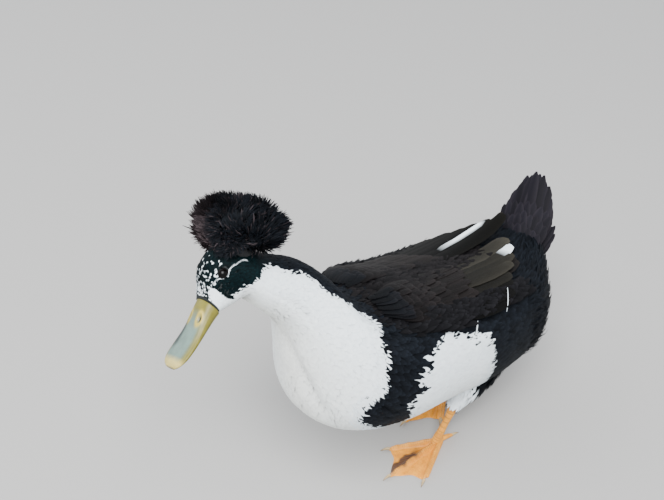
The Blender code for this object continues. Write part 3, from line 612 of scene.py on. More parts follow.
# Each shaft as places from root to tip, with the vane's width there as a share of the widest.
BODY_SHAFT = ((0.0, 0.5), (0.42, 0.95), (0.78, 0.82), (1.0, 0.2))
FRINGE_SHAFT = ((0.0, 0.6), (0.4, 1.0), (0.75, 0.7), (1.0, 0.08))
ROOT_DEPTH, TIP_LIFT = 0.6, -0.35         # how deep a root sits in the skin, and a tip in the coat
VARIED = (0.85, 1.15)                     # how lengths and widths vary from feather to feather
PALE_FROM, PALE_WIDER = 0.3, 1.25         # how light a feather is to count as white, and its width then
VANE_THIN, SOFT_CURL = 0.28, 0.15


def contour_feathers(name, places, lengths, widths, draw, raised=0.0, shaft=BODY_SHAFT, lie=9.0,
                     tint=None, spread=0.16):
    """Feathers over the skin at these places, with lengths and widths in millimetres at each."""
    t, angle = places[:, 0], places[:, 1]
    along, around, out = body_slopes(t, angle)
    turn = np.radians(draw.normal(0, lie, len(t)))
    lengths = lengths * draw.uniform(*VARIED, len(t))
    back = lengths * np.cos(turn) / length_of(along)[..., 0]
    aside = lengths * np.sin(turn) / length_of(around)[..., 0]
    s, wide = np.array(shaft).T
    depth = coat_depth(t)
    if tint is None:
        tint = plumage(t - 0.5 * back, angle, draw)
    tint = np.broadcast_to(tint, (len(t), 3))
    pale = tint.mean(1) > PALE_FROM
    tip = TIP_LIFT + raised + draw.normal(0, spread, len(t)) * depth / 4.0 * np.where(pale, 0.4, 1.0)
    run_t = np.clip(t[:, None] - back[:, None] * s, 0.0, T_BILL)
    run_angle = angle[:, None] + aside[:, None] * s
    lift = (-depth - ROOT_DEPTH)[:, None] * (1 - s) ** 1.5 + tip[:, None] * (1 - (1 - s) ** 1.5)
    middles = over_body(run_t, run_angle, lift)
    ahead = unit(np.gradient(middles, axis=1))
    outs = np.repeat(out[:, None], len(s), axis=1)
    sides = unit(np.cross(outs, ahead))
    outs = unit(np.cross(ahead, sides))
    halves = 0.5 * widths[:, None] * wide * draw.uniform(*VARIED, (len(t), 1))
    halves = halves * np.where(pale, PALE_WIDER, 1.0)[:, None]
    # White feathers hardly differ, but are a little darker at the root, painted shade under the feathers that
    # overlap them; the dark ones have browner, paler tips.
    tone = np.where(pale, draw.uniform(0.95, 1.03, len(t)), draw.uniform(0.6, 1.4, len(t)))
    tip_tone = np.where(pale[:, None], 0.96 + 0.06 * s, 0.8 + 1.4 * s**4)
    tint = np.clip(tint[:, None] * (tone[:, None] * tip_tone)[..., None], 0, 1)
    silk = np.where(pale, 0.93, 0.5)[:, None, None]
    facing = unit(silk * body_slopes(run_t, run_angle)[2] + (1 - silk) * outs)
    obj = vane_mesh(name, middles, sides, outs, halves, VANE_THIN, tint[:, :, None], uv_of(t, angle), COAT,
                    soft=0.92, curl=SOFT_CURL, facing=facing)


draw = np.random.default_rng(11)          # one run of chance for the whole coat, the same each time
# Gaps between rows and along them, and lengths and widths at each t.
BODY_ROW, BODY_GAP = 3.8, 3.2
NECK_ROW, NECK_GAP, HEAD_ROW, HEAD_GAP = 2.5, 2.2, 1.3, 1.2
BODY_LENGTH, BODY_WIDTH = ((0, 1.5, 4, 6, 7), (24, 26, 22, 17, 13)), ((0, 2, 5, 7), (7, 8, 7, 5.5))
NECK_LENGTH, NECK_WIDTH = ((7, 10.4), (12, 8)), ((7, 10.4), (5.0, 3.2))
HEAD_LENGTH, HEAD_WIDTH = ((10, 12, 13.2, 15), (8, 5.5, 3.2, 2.0)), ((10, 12, 13.2, 15), (3.0, 2.1, 1.6, 1.2))
# The back under the folded wings, where six feathers in ten are left out.
UNDER_T, UNDER_HEIGHT, UNDER_SHARE = (2.6, 4.5, 6.0), (50, 52, 60), 0.6
BREAST_START = 5.6
EYE_T, EYE_ANGLE, EYE_BARE = 12.7, 33, 4.8      # where the eye is, and how far round it is bare

places = scattered(0.15, T_NECK + 0.3, BODY_ROW, BODY_GAP, draw)
t, height = places[:, 0], mirrored(places[:, 1])
left_side = np.cos(np.radians(places[:, 1])) > 0
under = (t < UNDER_T[-1]) & (t > UNDER_T[0]) & (height > np.interp(t, UNDER_T, UNDER_HEIGHT))
covered = under & (draw.uniform(0, 1, len(height)) < UNDER_SHARE)
breast = (t > BREAST_START) & ~covered
for name, chosen, slot in (("breast_feathers", breast, "plumage_white"),
                           ("flank_feathers_left", ~breast & ~covered & left_side, "plumage_dark"),
                           ("flank_feathers_right", ~breast & ~covered & ~left_side, "plumage_dark")):
    t = places[chosen, 0]
    contour_feathers(name, places[chosen], np.interp(t, *BODY_LENGTH), np.interp(t, *BODY_WIDTH), draw)

neck = scattered(T_NECK + 0.1, T_HEAD + 0.4, NECK_ROW, NECK_GAP, draw)
t = neck[:, 0]
contour_feathers("neck_feathers", neck, np.interp(t, *NECK_LENGTH), np.interp(t, *NECK_WIDTH), draw)
head = scattered(T_HEAD + 0.2, T_BILL - 0.05, HEAD_ROW, HEAD_GAP, draw)
roots = body_point(head[:, 0], head[:, 1])
from_eyes = [length_of(roots - body_point(EYE_T, a))[:, 0] for a in (EYE_ANGLE, 180 - EYE_ANGLE)]
head = head[np.minimum(*from_eyes) > EYE_BARE]
t = head[:, 0]
contour_feathers("head_feathers", head, np.interp(t, *HEAD_LENGTH), np.interp(t, *HEAD_WIDTH), draw,
                 lie=7.0)

# The thighs: short loose feathers that point down the leg and end in a skirt round the hock, white
# low down and black above. Each is rooted in the flesh, and its tip stands a little off the coat.

THIGH_COUNT, THIGH_LENGTH, THIGH_WIDTH = 520, 13.0, 4.6
THIGH_SHAFT = ((0.0, 0.5), (0.4, 1.0), (0.75, 0.8), (1.0, 0.15))
SKIRT_END = -0.16                         # how far below the hock a tip may hang, as a share of the thigh


def thigh_feathers(name, hock, hip, draw):
    """Feathers all round one thigh, each lying down towards the hock."""
    share, around = draw.uniform(0.08, 1.12, THIGH_COUNT), draw.uniform(0, 360, THIGH_COUNT)
    s, wide = np.array(THIGH_SHAFT).T
    length = np.linalg.norm(np.subtract(hip, hock))
    path = share[:, None] - THIGH_LENGTH / length * s * draw.uniform(0.8, 1.2, (THIGH_COUNT, 1))
    lift = -0.2 + 1.15 * s + draw.normal(0, 0.08, (THIGH_COUNT, 1)) * s
    middles, outs = thigh_point(hock, hip, np.maximum(path, SKIRT_END), around[:, None], lift)
    sides = unit(np.cross(outs, unit(np.gradient(middles, axis=1))))
    halves = 0.5 * THIGH_WIDTH * wide * draw.uniform(0.8, 1.2, (THIGH_COUNT, 1))
    pale = share + draw.normal(0, 0.06, THIGH_COUNT) < 0.42 + 0.15 * outs[:, 0, 0]
    tint = np.where(pale[:, None], WHITE, BLACK * draw.uniform(0.7, 1.3, (THIGH_COUNT, 1)))
    obj = vane_mesh(name, middles, sides, outs, halves, VANE_THIN, tint[:, None, None],
                    uv_of(2.0 + share, around), COAT, soft=0.9, curl=SOFT_CURL)


for name, (hock, hip) in zip(("thigh_feathers_left", "thigh_feathers_right"), THIGHS):
    thigh_feathers(name, hock, hip, draw)

# The tufts of the crown: short, very narrow grey down at the front of the crest, where it springs
# from the skull. It stands at all angles.

TUFT_COUNT, TUFT_T, TUFT_ANGLE = 110, (11.0, 11.9), (56, 122)
tuft_t, tuft_angle = draw.uniform(*TUFT_T, TUFT_COUNT), draw.uniform(*TUFT_ANGLE, TUFT_COUNT)
contour_feathers("crown_tufts", np.column_stack((tuft_t, tuft_angle)), np.full(TUFT_COUNT, 5.0),
                 np.full(TUFT_COUNT, 0.8), draw, raised=1.6, lie=40.0,
                 tint=WHITE * draw.uniform(0.04, 0.30, (TUFT_COUNT, 1)), spread=2.0)

# The fringe of the white plumage: narrow, loose, pointed feathers along its edges, whose white tips
# lie over the black feathers behind them.

FRINGE_LENGTH, FRINGE_WIDTH = 13.0, 2.0
FRINGE_T, FRINGE_SHORT, FRINGE_NARROW = (6.8, 7.8), (1.0, 0.45), (1.0, 0.6)     # smaller on the neck


def fringe_places(start, end, gap, draw):
    """Places in the white with black a feather's length behind them."""
    spots = scattered(start, end, gap, gap, draw)
    t, angle = spots.T
    back = FRINGE_LENGTH / length_of(body_slopes(t, angle)[0])[..., 0]
    edge = whiteness(t - 1.1 * back, angle) < 1
    for aside in (-5, 5):
        edge = edge | (whiteness(t - 0.6 * back, angle + aside) < 1)
    return spots[(whiteness(t, angle) > 0) & edge]


fringe = fringe_places(2.9, 9.6, 1.7, draw)
contour_feathers("fringe_feathers", fringe, FRINGE_LENGTH * np.interp(fringe[:, 0], FRINGE_T, FRINGE_SHORT),
                 FRINGE_WIDTH * np.interp(fringe[:, 0], FRINGE_T, FRINGE_NARROW), draw,
                 raised=0.5, shaft=FRINGE_SHAFT, lie=14.0, tint=WHITE, spread=0.5)

# The white line of the face: one thin row of very short white feathers, rooted among the black
# ones. It runs forward from above the cheek, hooks round below the eye and ends at the white dots.

# The line as t and angle, from the back forward.
FACE_LINE = ((11.3, 32), (11.55, 32), (12, 28), (12.3, 28), (12.45, 26),
             (12.65, 22), (12.9, 26), (13.05, 32), (13.25, 38), (13.65, 48))
FACE_LINE_COUNT, FACE_LINE_LENGTH, FACE_LINE_WIDTH = 200, 0.9, 0.32


def face_line(draw):
    """The line on the left side of the face and its mirror on the right."""
    line = np.array(FACE_LINE)
    at = np.linspace(0, len(line) - 1, FACE_LINE_COUNT)
    t = np.interp(at, np.arange(len(line)), line[:, 0]) + draw.normal(0, 0.008, len(at))
    angle = np.interp(at, np.arange(len(line)), line[:, 1]) + draw.normal(0, 0.6, len(at))
    spots = np.concatenate((np.column_stack((t, angle)), np.column_stack((t, 180 - angle))))
    count = len(spots)
    contour_feathers("face_line_feathers", spots, np.full(count, FACE_LINE_LENGTH),
                     np.full(count, FACE_LINE_WIDTH), draw, raised=0.6, lie=25.0, tint=WHITE)


face_line(draw)

# Wings: folded flight feathers with the coverts in rows over their roots. The real vanes are
# stiff and brown-black, with paler brown edges, and the longest ones are grey-brown and white.

WING_THICK, STIFF_CURL = 0.6, 0.12
DARK, BROWN = (0.0030, 0.0025, 0.0025), (0.0105, 0.0080, 0.0078)
GREY, PALE = (0.0150, 0.0138, 0.0105), (0.034, 0.031, 0.024)
# Rows: count, start and end along the body and angles for the lowest and the highest one, width,
# heights of root and tip, colour and edge colour.
WING_ROWS = (
    ("primaries", 6, (3.3, 3.1), (1.75, 1.40), (58, 76), (60, 76), 12, (1.5, 5.2),
     (0.004, 0.0036, 0.0036), (0.012, 0.010, 0.009)),
    ("secondaries", 8, (4.2, 3.8), (2.90, 1.60), (44, 84), (34, 83), 23, (2.2, 7.0), GREY, PALE),
    ("greater_coverts", 12, (4.7, 4.5), (3.60, 3.00), (46, 84), (42, 84), 12, (2.2, 6.8),
     (0.0058, 0.0048, 0.0042), BROWN),
    ("middle_coverts", 12, (4.95, 4.8), (3.95, 3.60), (47, 84), (44, 84), 11, (2.2, 6.5),
     (0.0044, 0.0037, 0.0034), BROWN),
    ("under_coverts", 12, (5.2, 5.1), (4.30, 4.10), (48, 84), (46, 83), 10.5, (2.2, 6.2), DARK, BROWN),
    ("small_coverts_1", 12, (5.45, 5.35), (4.60, 4.45), (49, 84), (47, 83), 10, (2.1, 5.9),
     DARK, (0.0095, 0.0070, 0.0072)),
    ("small_coverts_2", 12, (5.7, 5.6), (4.85, 4.75), (50, 84), (48, 83), 9.5, (2.0, 5.6),
     DARK, (0.0085, 0.0065, 0.0066)),
    ("small_coverts_3", 11, (5.95, 5.85), (5.15, 5.05), (52, 83), (50, 82), 9, (1.9, 5.3),
     DARK, (0.0070, 0.0056, 0.0058)),
    ("shoulder_1", 10, (6.15, 6.1), (5.40, 5.30), (55, 81), (52, 80), 9, (1.8, 5.0),
     BLACK, (0.0065, 0.0060, 0.0074)),
    ("shoulder_2", 9, (6.45, 6.4), (5.70, 5.60), (58, 80), (55, 79), 9, (0.5, 4.0),
     BLACK, (0.0055, 0.0055, 0.0070)),
)
# How much further the long feathers reach and turn in over the back than the rows give: on the
# right wing, which stands further off the body, and on the left one.
FAR_REACH, FAR_RISE, FAR_WIDTH, NEAR_REACH, NEAR_TURN = 0.9, 18.0, 0.75, 0.62, 2.0
WING_SHAFT = ((0.0, 0.55), (0.2, 0.8), (0.4, 0.95), (0.6, 1.0), (0.76, 0.96), (0.88, 0.86), (0.96, 0.68),
              (1.0, 0.3))
WING_TILT = 0.13                          # how far a vane's lower edge stands off the next one
# How far each place round a broad vane's section takes the colour of its edge.
EDGE_SHARE = np.array((1.0, 0.3, 0.0, 0.3, 1.0, 0.4, 0.4))[None, None, :, None]
# The white marks on the highest vane but one: from where to where along it, and on which places of
# its section. The vanes under it are grey-brown from this share of the row up on the left wing.
LEFT_WHITE, RIGHT_WHITE = (0.86, 1.1, (0, 1, 2, 3, 6)), (0.58, 0.90, (3, 4, 5))
MARKED, GREY_FROM, GREY_OVER, LEFT_SHADE, RIGHT_SHADE = (0.8, 0.95), 0.35, 0.2, 0.08, 0.12
WING_FINISH = feather_finish("wing_vanes", 0.52, (0.0010, 0.0011, 0.0013), Specular_IOR_Level=0.05)


def on_side(angle, side):
    """An angle of the left side, where side is 1, or its mirror on the right, where it is -1."""
    return angle if side > 0 else 180 - angle


def joined(rows):
    """Rows of vanes as one set: all middles, all sides and so on."""
    return [np.concatenate(column) for column in zip(*rows)]


def make_wing(name, side, draw):
    """All the vanes of one wing as one mesh, rows from the wing tip forward."""
    s, wide = np.array(WING_SHAFT).T
    rows = []
    for title, count, starts, ends, roots, tips, width, heights, colour, edge in WING_ROWS:
        k = np.arange(count) / (count - 1)
        far = 1.0 if side < 0 and title in ("primaries", "secondaries") else 0.0
        near = 1.0 if side > 0 and title == "secondaries" else 0.0
        wander = draw.normal(0, 1, (4, count))
        t0 = starts[0] + (starts[1] - starts[0]) * k + 0.03 * wander[0]
        t1 = ends[0] + (ends[1] - ends[0]) * k - (far * FAR_REACH + near * NEAR_REACH * k) * k
        t1 = t1 + 0.05 * wander[1]
        a0 = roots[0] + (roots[1] - roots[0]) * k
        a1 = tips[0] + (tips[1] - tips[0]) * k + 0.5 * wander[2] + near * NEAR_TURN * k
        t = t0[:, None] + (t1 - t0)[:, None] * s
        angle = on_side(a0[:, None] + (a1 - a0)[:, None] * s, side)
        lift = heights[0] + (heights[1] - heights[0]) * s + (far * FAR_RISE * k * k)[:, None] * s**2
        lift = lift + 0.3 * wander[3][:, None]
        along, around, outs = body_slopes(t, angle)
        middles = body_point(t, angle) + (lift + 0.3)[..., None] * outs
        ahead = unit(np.gradient(middles, axis=1))
        sides = unit(np.cross(outs, ahead))
        down = np.sign((sides * -around).sum(-1, keepdims=True)) * side
        sides = unit(sides + WING_TILT * down * outs)
        outs = unit(np.cross(ahead, sides))
        halves = 0.5 * width * wide * draw.uniform(0.93, 1.05, (count, len(s))) * (FAR_WIDTH if far else 1.0)
        shade = draw.uniform(0.7, 1.25, (count, 1, 1, 1))
        rim = np.maximum(EDGE_SHARE, (s**8)[None, :, None, None])
        # Each vane is darker where the next row shades its root.
        tint = (np.array(colour) * (1 - rim) + np.array(edge) * rim) * shade
        tint = tint * (0.35 + 0.65 * s)[None, :, None, None]
        if title == "secondaries":
            start, end, marked = LEFT_WHITE if side > 0 else RIGHT_WHITE
            grey = np.clip((k - GREY_FROM) / GREY_OVER, LEFT_SHADE, 1)[:, None, None, None]
            # On the right wing, the far one, all of them are darkened by RIGHT_SHADE: painted shade.
            tint = tint * (grey if side > 0 else RIGHT_SHADE)
            white = ((k > MARKED[0]) & (k < MARKED[1]))[:, None] & ((s > start) & (s < end))[None]
            for place in marked:
                tint[white, place] = WHITE
        rows.append((middles, sides, outs, halves, tint, uv_of(t0, on_side(a0, side))))
    middles, sides, outs, halves, tint, where = joined(rows)
    wing = vane_mesh(name, middles, sides, outs, halves, WING_THICK, tint, where, WING_FINISH, section=BROAD,
                     curl=STIFF_CURL)
    return wing


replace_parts(make_wing("wing_feathers_left", 1, draw), "wing_left")
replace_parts(make_wing("wing_feathers_right", -1, draw), "wing_right")

# The soft black feathers of the shoulders, back and flanks lie over the edges of the folded wings
# and hide where the wings meet the body. They are rooted in the skin in two bands.

SHOULDER_T, SHOULDER_ABOVE = (2.5, 5.5, 6.9), (84, 76, 56)
WING_EDGE_T, WING_EDGE_ABOVE, WING_EDGE_BELOW = (2.5, 6.9), (30, 42), (44, 60)      # t and angles
# Name, length, width, how far the tips stand up over the wing, and colour.
EDGE_FEATHERS = (
    ("shoulder_feathers", 27.0, 9.5, 6.2, np.array((0.0036, 0.0031, 0.0032))),
    ("wing_edge_feathers", 20.0, 7.0, 8.8, np.array((0.0032, 0.0031, 0.0036))),
)

spots = scattered(2.5, 6.9, 3.0, 2.8, draw)
height, t = mirrored(spots[:, 1]), spots[:, 0]
on_shoulder = height > np.interp(t, SHOULDER_T, SHOULDER_ABOVE)
on_edge = ((height > np.interp(t, WING_EDGE_T, WING_EDGE_ABOVE))
           & (height < np.interp(t, WING_EDGE_T, WING_EDGE_BELOW)))
for (name, length, width, raised, tint), band in zip(EDGE_FEATHERS, (spots[on_shoulder], spots[on_edge])):
    raised = np.interp(band[:, 0], (2.5, 5.2, 6.3), (raised, raised, 0.3))
    small = np.interp(band[:, 0], (2.5, 5.0, 6.9), (1.0, 0.9, 0.6))
    contour_feathers(name, band, length * small, width * small, draw, raised=raised, lie=8.0,
                     tint=tint, spread=0.8)

# Two pale feathers that show on the left side: the white edge at the rear of the wing and a wisp
# over the white patch, each one thin vane that lies on the dark feathers.

LOOSE_SHAFT = ((0.0, 0.6), (0.3, 1.0), (0.6, 1.0), (0.85, 0.7), (1.0, 0.2))
# Start and end as t and angle, heights of root and tip, width, and tone as a share of white.
LOOSE = (
    ((2.78, 42), (3.18, 24), 9.5, 8.3, 0.9, 0.8),
    ((3.95, 20), (3.80, 30), 5.8, 7.4, 1.4, 0.8),
)


def loose_feathers():
    """Both loose feathers as one mesh."""
    s, wide = np.array(LOOSE_SHAFT).T
    rows = []
    for start, end, low, high, width, tone in LOOSE:
        t = start[0] + (end[0] - start[0]) * s
        angle = start[1] + (end[1] - start[1]) * s
        middles = over_body(t, angle, low + (high - low) * s)
        outs = body_slopes(t, angle)[2]
        sides = unit(np.cross(outs, unit(np.gradient(middles, axis=0))))
        tint = np.broadcast_to(WHITE * tone, (len(s), 3))
        rows.append((middles, sides, outs, 0.5 * width * wide, tint, uv_of(t[0], angle[0])))
    middles, sides, outs, halves, tint, where = (np.array(column) for column in zip(*rows))
    obj = vane_mesh("loose_pale_feathers", middles, sides, outs, halves, 0.3, tint[:, :, None], where, COAT,
                    soft=0.9)


loose_feathers()

# The fluffy rear: long loose black feathers under and beside the tail, which stand off the body
# and hide where the tail springs from it.

REAR_END, REAR_LENGTH, REAR_WIDTH = 2.6, (30, 22), 3.4
spots = scattered(0.1, REAR_END, 2.6, 2.5, draw)
contour_feathers("rear_feathers", spots, np.interp(spots[:, 0], (0, REAR_END), REAR_LENGTH),
                 np.full(len(spots), REAR_WIDTH), draw, raised=1.6, shaft=FRINGE_SHAFT,
                 lie=16.0, tint=BLACK, spread=1.6)

# Tail: a closed fan of stiff feathers that stands up from the stump, with soft coverts in rows
# above and below its root, black with a blue and purple gloss.

TAIL_ROOT = (-161, 4, 138)
TAIL_RAISE, TAIL_BEND, TAIL_THICK = 44, 20, 0.6
TAIL_COLOUR, TAIL_EDGE = np.array((0.0052, 0.0047, 0.0075)), np.array((0.013, 0.011, 0.015))
TAIL_SHAFT = ((0.0, 0.5), (0.25, 0.82), (0.5, 1.0), (0.7, 0.97), (0.84, 0.8), (0.94, 0.5), (1.0, 0.12))
# Rows: count, length, width, spread in degrees, step sideways, heights of root and tip.
TAIL_ROWS = (
    (14, 92, 15, 1.45, 1.8, -1.0, -1.0),
    (9, 58, 12, 4.0, 3.0, 4.0, 6.5),
    (9, 46, 12, 4.5, 3.0, 7.0, 9.0),
    (8, 34, 11, 5.0, 3.2, 9.0, 11.0),
    (13, 60, 9, 3.4, 2.2, -7.0, -9.5),
    (13, 52, 9, 4.0, 2.4, -11.0, -14.0),
    (13, 44, 9, 4.2, 2.4, -14.5, -18.5),
    (12, 35, 9, 4.6, 2.6, -17.5, -22.5),
)
TAIL_FINISH = feather_finish("tail_vanes", 0.55, (0.001, 0.001, 0.0025), Specular_IOR_Level=0.06)


def make_tail(draw):
    """All the vanes of the tail as one mesh, the fan first and the coverts in rows after it."""
    back, left, up = turned(180 + TAIL_BEND, TAIL_RAISE, 0)
    s, wide = np.array(TAIL_SHAFT).T
    rows = []
    for row, (count, length, width, spread, step, low, high) in enumerate(TAIL_ROWS):
        out = np.arange(count) - (count - 1) / 2 + draw.normal(0, 0.12, count)
        turn = np.radians(out * spread)
        ahead = np.cos(turn)[:, None] * back + np.sin(turn)[:, None] * left
        across = np.cos(turn)[:, None] * left - np.sin(turn)[:, None] * back
        sizes = length - 1.5 * np.abs(out) ** 1.6 * (1.0 if row == 0 else 0.5)
        sizes = sizes * draw.uniform(0.94, 1.04, count)
        root = np.array(TAIL_ROOT, float) + (out * step)[:, None] * left
        root = root + (low - 0.9 * np.abs(out))[:, None] * up
        rise = (high - low + draw.normal(0, 0.5, count))[:, None] * s
        middles = root[:, None] + ahead[:, None] * (sizes[:, None] * s)[..., None] + rise[..., None] * up
        # Each feather curls a little outwards towards its tip.
        middles = middles + (np.sign(low + 4) * 1.5 * s**2)[None, :, None] * up
        tilt = np.where(out > 0, 0.12, -0.12)[:, None, None]
        sides = unit(np.repeat(across[:, None], len(s), 1) - tilt * up)
        outs = unit(np.cross(sides, unit(np.gradient(middles, axis=1))))
        outs = outs * np.sign((outs * up).sum(-1, keepdims=True))
        halves = 0.5 * width * wide * draw.uniform(0.92, 1.06, (count, len(s)))
        tint = TAIL_COLOUR * (1 - EDGE_SHARE) + TAIL_EDGE * EDGE_SHARE
        # Each vane varies at random in tone, and is darker towards its root: painted shade where the rows
        # over it cover it.
        tint = tint * draw.uniform(0.7, 1.3, (count, 1, 1, 1)) * (0.4 + 0.6 * s)[None, :, None, None]
        where = np.stack((np.full(count, 0.02 + 0.01 * row), 0.5 + 0.4 * out / count), -1)
        rows.append((middles, sides, outs, halves, tint, where))
    middles, sides, outs, halves, tint, where = joined(rows)
    tail = vane_mesh("tail_feathers", middles, sides, outs, halves, TAIL_THICK, tint, where, TAIL_FINISH,
                     section=BROAD, curl=STIFF_CURL)
    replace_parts(tail, "tail")


make_tail(draw)

# Crest: a round puff of long, loose feathers that springs from the cushion on the back of the
# skull. They are black, and brown towards the front, with a few pale ones low down there.

CREST_ROOT = np.array(CUSHION_AT, float)
CREST_MIDDLE, CREST_REACH = np.array((-40.0, 1.0, 19.5)), np.array((31.0, 58.0, 26.5))
CREST_LEAN, CREST_CAP, CREST_COUNT, CREST_WIDTH = 42, 1.08, 20000, 1.45
CREST_SHAFT = ((0.30, 0.5), (0.60, 0.9), (0.78, 1.0), (0.91, 0.8), (1.0, 0.15))
CREST_BROWN, CREST_PALE = np.array((0.048, 0.036, 0.038)), 0.16 * WHITE
CREST_TUFTS = 6.0                         # how closely the tufts that feathers gather in follow
CREST_FULL = 0.6                          # the share that reach the surface, while the rest fill the puff
CREST_LIFT = 12.0                         # how far the lowest tips at the front turn up
CREST_SHORT, CREST_LONG = (0.7, 0.93), (0.93, 0.10, 0.12)     # shares of the way to the surface
CREST_BEND, CREST_BEND_FROM = (5.0, 15.0), 0.45


def crest_curl(direction, draw):
    """The way the tips curl: alike in each small tuft, and different from tuft to tuft."""
    curl = np.zeros(direction.shape)
    for wave in range(5):
        towards = draw.normal(0, CREST_TUFTS, (3, 3))
        curl = curl + np.sin(direction @ towards + draw.uniform(0, 6.3, 3))
    curl = curl + draw.normal(0, 0.5, direction.shape) + np.array((-0.8, 0.0, 0.3))
    return unit(curl - (curl * direction).sum(-1, keepdims=True) * direction)


def make_crest(draw):
    """Feathers spread evenly over the ball, each out to its surface from the cushion."""
    k = np.arange(CREST_COUNT)
    high = 1.0 - CREST_CAP * (k + 0.5) / CREST_COUNT
    turn = k * math.pi * (3.0 - math.sqrt(5.0)) + draw.normal(0, 0.08, CREST_COUNT)
    flat = np.sqrt(1 - high * high)
    lean = math.radians(CREST_LEAN)
    ahead = flat * np.cos(turn) * math.cos(lean) - high * math.sin(lean)
    up = flat * np.cos(turn) * math.sin(lean) + high * math.cos(lean)
    direction = unit(np.stack((ahead, flat * np.sin(turn), up), -1))
    near, slope = (CREST_ROOT - CREST_MIDDLE) / CREST_REACH, direction / CREST_REACH
    a, b, c = (slope * slope).sum(-1), slope @ near, near @ near - 1.0
    length = (np.sqrt(b * b - a * c) - b) / a
    # Brown and loose at the front and on the right, black and dense over the rest.
    front = np.clip(0.25 + 0.9 * direction[:, 0] - 0.9 * direction[:, 1], 0, 1)
    full = draw.uniform(0, 1, CREST_COUNT) < CREST_FULL
    chance = draw.uniform(0, 1, CREST_COUNT)
    longest = CREST_LONG[0] + CREST_LONG[1] * chance + CREST_LONG[2] * front**2 * chance**3
    length = length * np.where(full, longest, draw.uniform(*CREST_SHORT, CREST_COUNT))
    s, wide = np.array(CREST_SHAFT).T
    # The tips curl over and lie along the ball.
    curl = crest_curl(direction, draw)
    bent = np.clip((s - CREST_BEND_FROM) / (1 - CREST_BEND_FROM), 0, 1) ** 1.8
    bent = bent * draw.uniform(*CREST_BEND, (CREST_COUNT, 1)) * (1 - 0.5 * front[:, None])
    spots = CREST_ROOT + direction[:, None] * (length[:, None] * s - 0.35 * bent)[..., None]
    spots = spots + bent[..., None] * curl[:, None]
    # The lowest ones at the front turn up, clear of the crown.
    ahead, left, up = np.moveaxis(spots[:, -1], -1, 0)
    raised = np.clip((ahead + 50) / 25, 0, 1) * np.clip(left / 12, 0, 1) * np.clip((24 - up) / 16, 0, 1)
    spots[..., 2] += CREST_LIFT * raised[:, None] * s**2
    middles = on_head(*np.moveaxis(spots, -1, 0))
    run = unit(np.gradient(middles, axis=1))
    pole = (direction + draw.normal(0, 0.25, (CREST_COUNT, 3))) @ np.stack(HEAD_FRAME)
    sides = unit(np.cross(pole[:, None], run))
    outs = np.cross(run, sides)
    smooth = (direction @ np.stack(HEAD_FRAME))[:, None]
    outs = outs * np.where((outs * smooth).sum(-1, keepdims=True) < 0, -1.0, 1.0)
    halves = 0.5 * CREST_WIDTH * wide * draw.uniform(0.6, 1.3, (CREST_COUNT, 1))
    front = np.clip(front[:, None] + (draw.uniform(0, 1, (CREST_COUNT, 1)) < 0.10) * 0.4, 0, 1)
    tint = (BLACK * (1 - front) + CREST_BROWN * front) * draw.uniform(0.5, 1.6, (CREST_COUNT, 1))
    # Each strand is darker towards its root: painted shade deep inside the puff.
    tint = tint[:, None] * (0.2 + 1.1 * s**2.5)[None, :, None]
    low_front = (direction[:, 0] > 0.3) & (direction[:, 2] < 0.2)
    tint[(draw.uniform(0, 1, CREST_COUNT) < 0.006) & low_front] = CREST_PALE
    where = np.stack((0.70 + 0.06 * direction[:, 0], 0.25 + 0.12 * direction[:, 1]), -1)
    left, behind = direction[:, 1] > 0, high > np.median(high)
    for name, chosen in (("crest_feathers_left", left & behind), ("crest_feathers_right", ~left & behind),
                         ("crest_fringe_left", left & ~behind), ("crest_fringe_right", ~left & ~behind)):
        crest = vane_mesh(name, middles[chosen], sides[chosen], outs[chosen], halves[chosen], 0.3,
                          tint[chosen][:, :, None], where[chosen], COAT, section=NARROW,
                          facing=unit(0.75 * smooth + 0.35 * outs)[chosen])
        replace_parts(crest, "crest")


make_crest(draw)

# Bill: a horny sheath over bone, broad and flat, in two halves that meet along the mouth. It is
# grey-green in the middle, olive-yellow at the root, the edges and round the nostrils.

BILL = (
    # ahead, up, half width, height above and below the line of the mouth
    (27, -9.0, 12.5, 13.0, 5.5),
    (34, -9.5, 12.2, 11.5, 5.2),
    (43, -10.5, 12.4, 9.0, 4.8),
    (54, -11.5, 13.4, 6.6, 4.2),
    (65, -12.0, 14.5, 5.2, 3.7),
    (75, -12.4, 14.2, 4.6, 3.1),
    (82, -12.8, 11.0, 4.0, 2.4),
    (85.5, -13.4, 6.0, 3.0, 1.6),
)
BILL_ROWS, BILL_SIDES, MOUTH_GAP = 90, 49, 0.3
UNDER_INSET = 1.2                         # how much narrower the lower half is on each side
NOSTRIL, NOSTRIL_REACH = (41.5, 6.4), (4.2, 2.0)
NAIL, NAIL_REACH = 82.5, (4.5, 4.6)
BILL_GREEN, BILL_OLIVE = np.array((0.120, 0.180, 0.158)), np.array((0.150, 0.132, 0.017))
BILL_YELLOW, BILL_PALE = np.array((0.42, 0.32, 0.05)), np.array((0.46, 0.38, 0.13))
BILL_SLATE, NOSTRIL_SHADE = np.array((0.020, 0.032, 0.030)), np.array((0.012, 0.008, 0.003))


def smooth_row(values, count):
    """More points along a row of values, on a smooth curve through them."""
    values = np.array(values, float)
    values = values[:, None] if values.ndim == 1 else values
    at = np.linspace(0, len(values) - 1, count)
    i = np.minimum(at.astype(int), len(values) - 2)
    s = (at - i)[:, None]
    slopes = np.gradient(values, axis=0)
    row = eased(s, values[i], slopes[i], values[i + 1], slopes[i + 1])
    return row[:, 0] if row.shape[1] == 1 else row


def mixed(tint, colour, share):
    """A colour at each point, taken so far towards another."""
    share = share[..., None]
    return tint * (1 - share) + colour * share


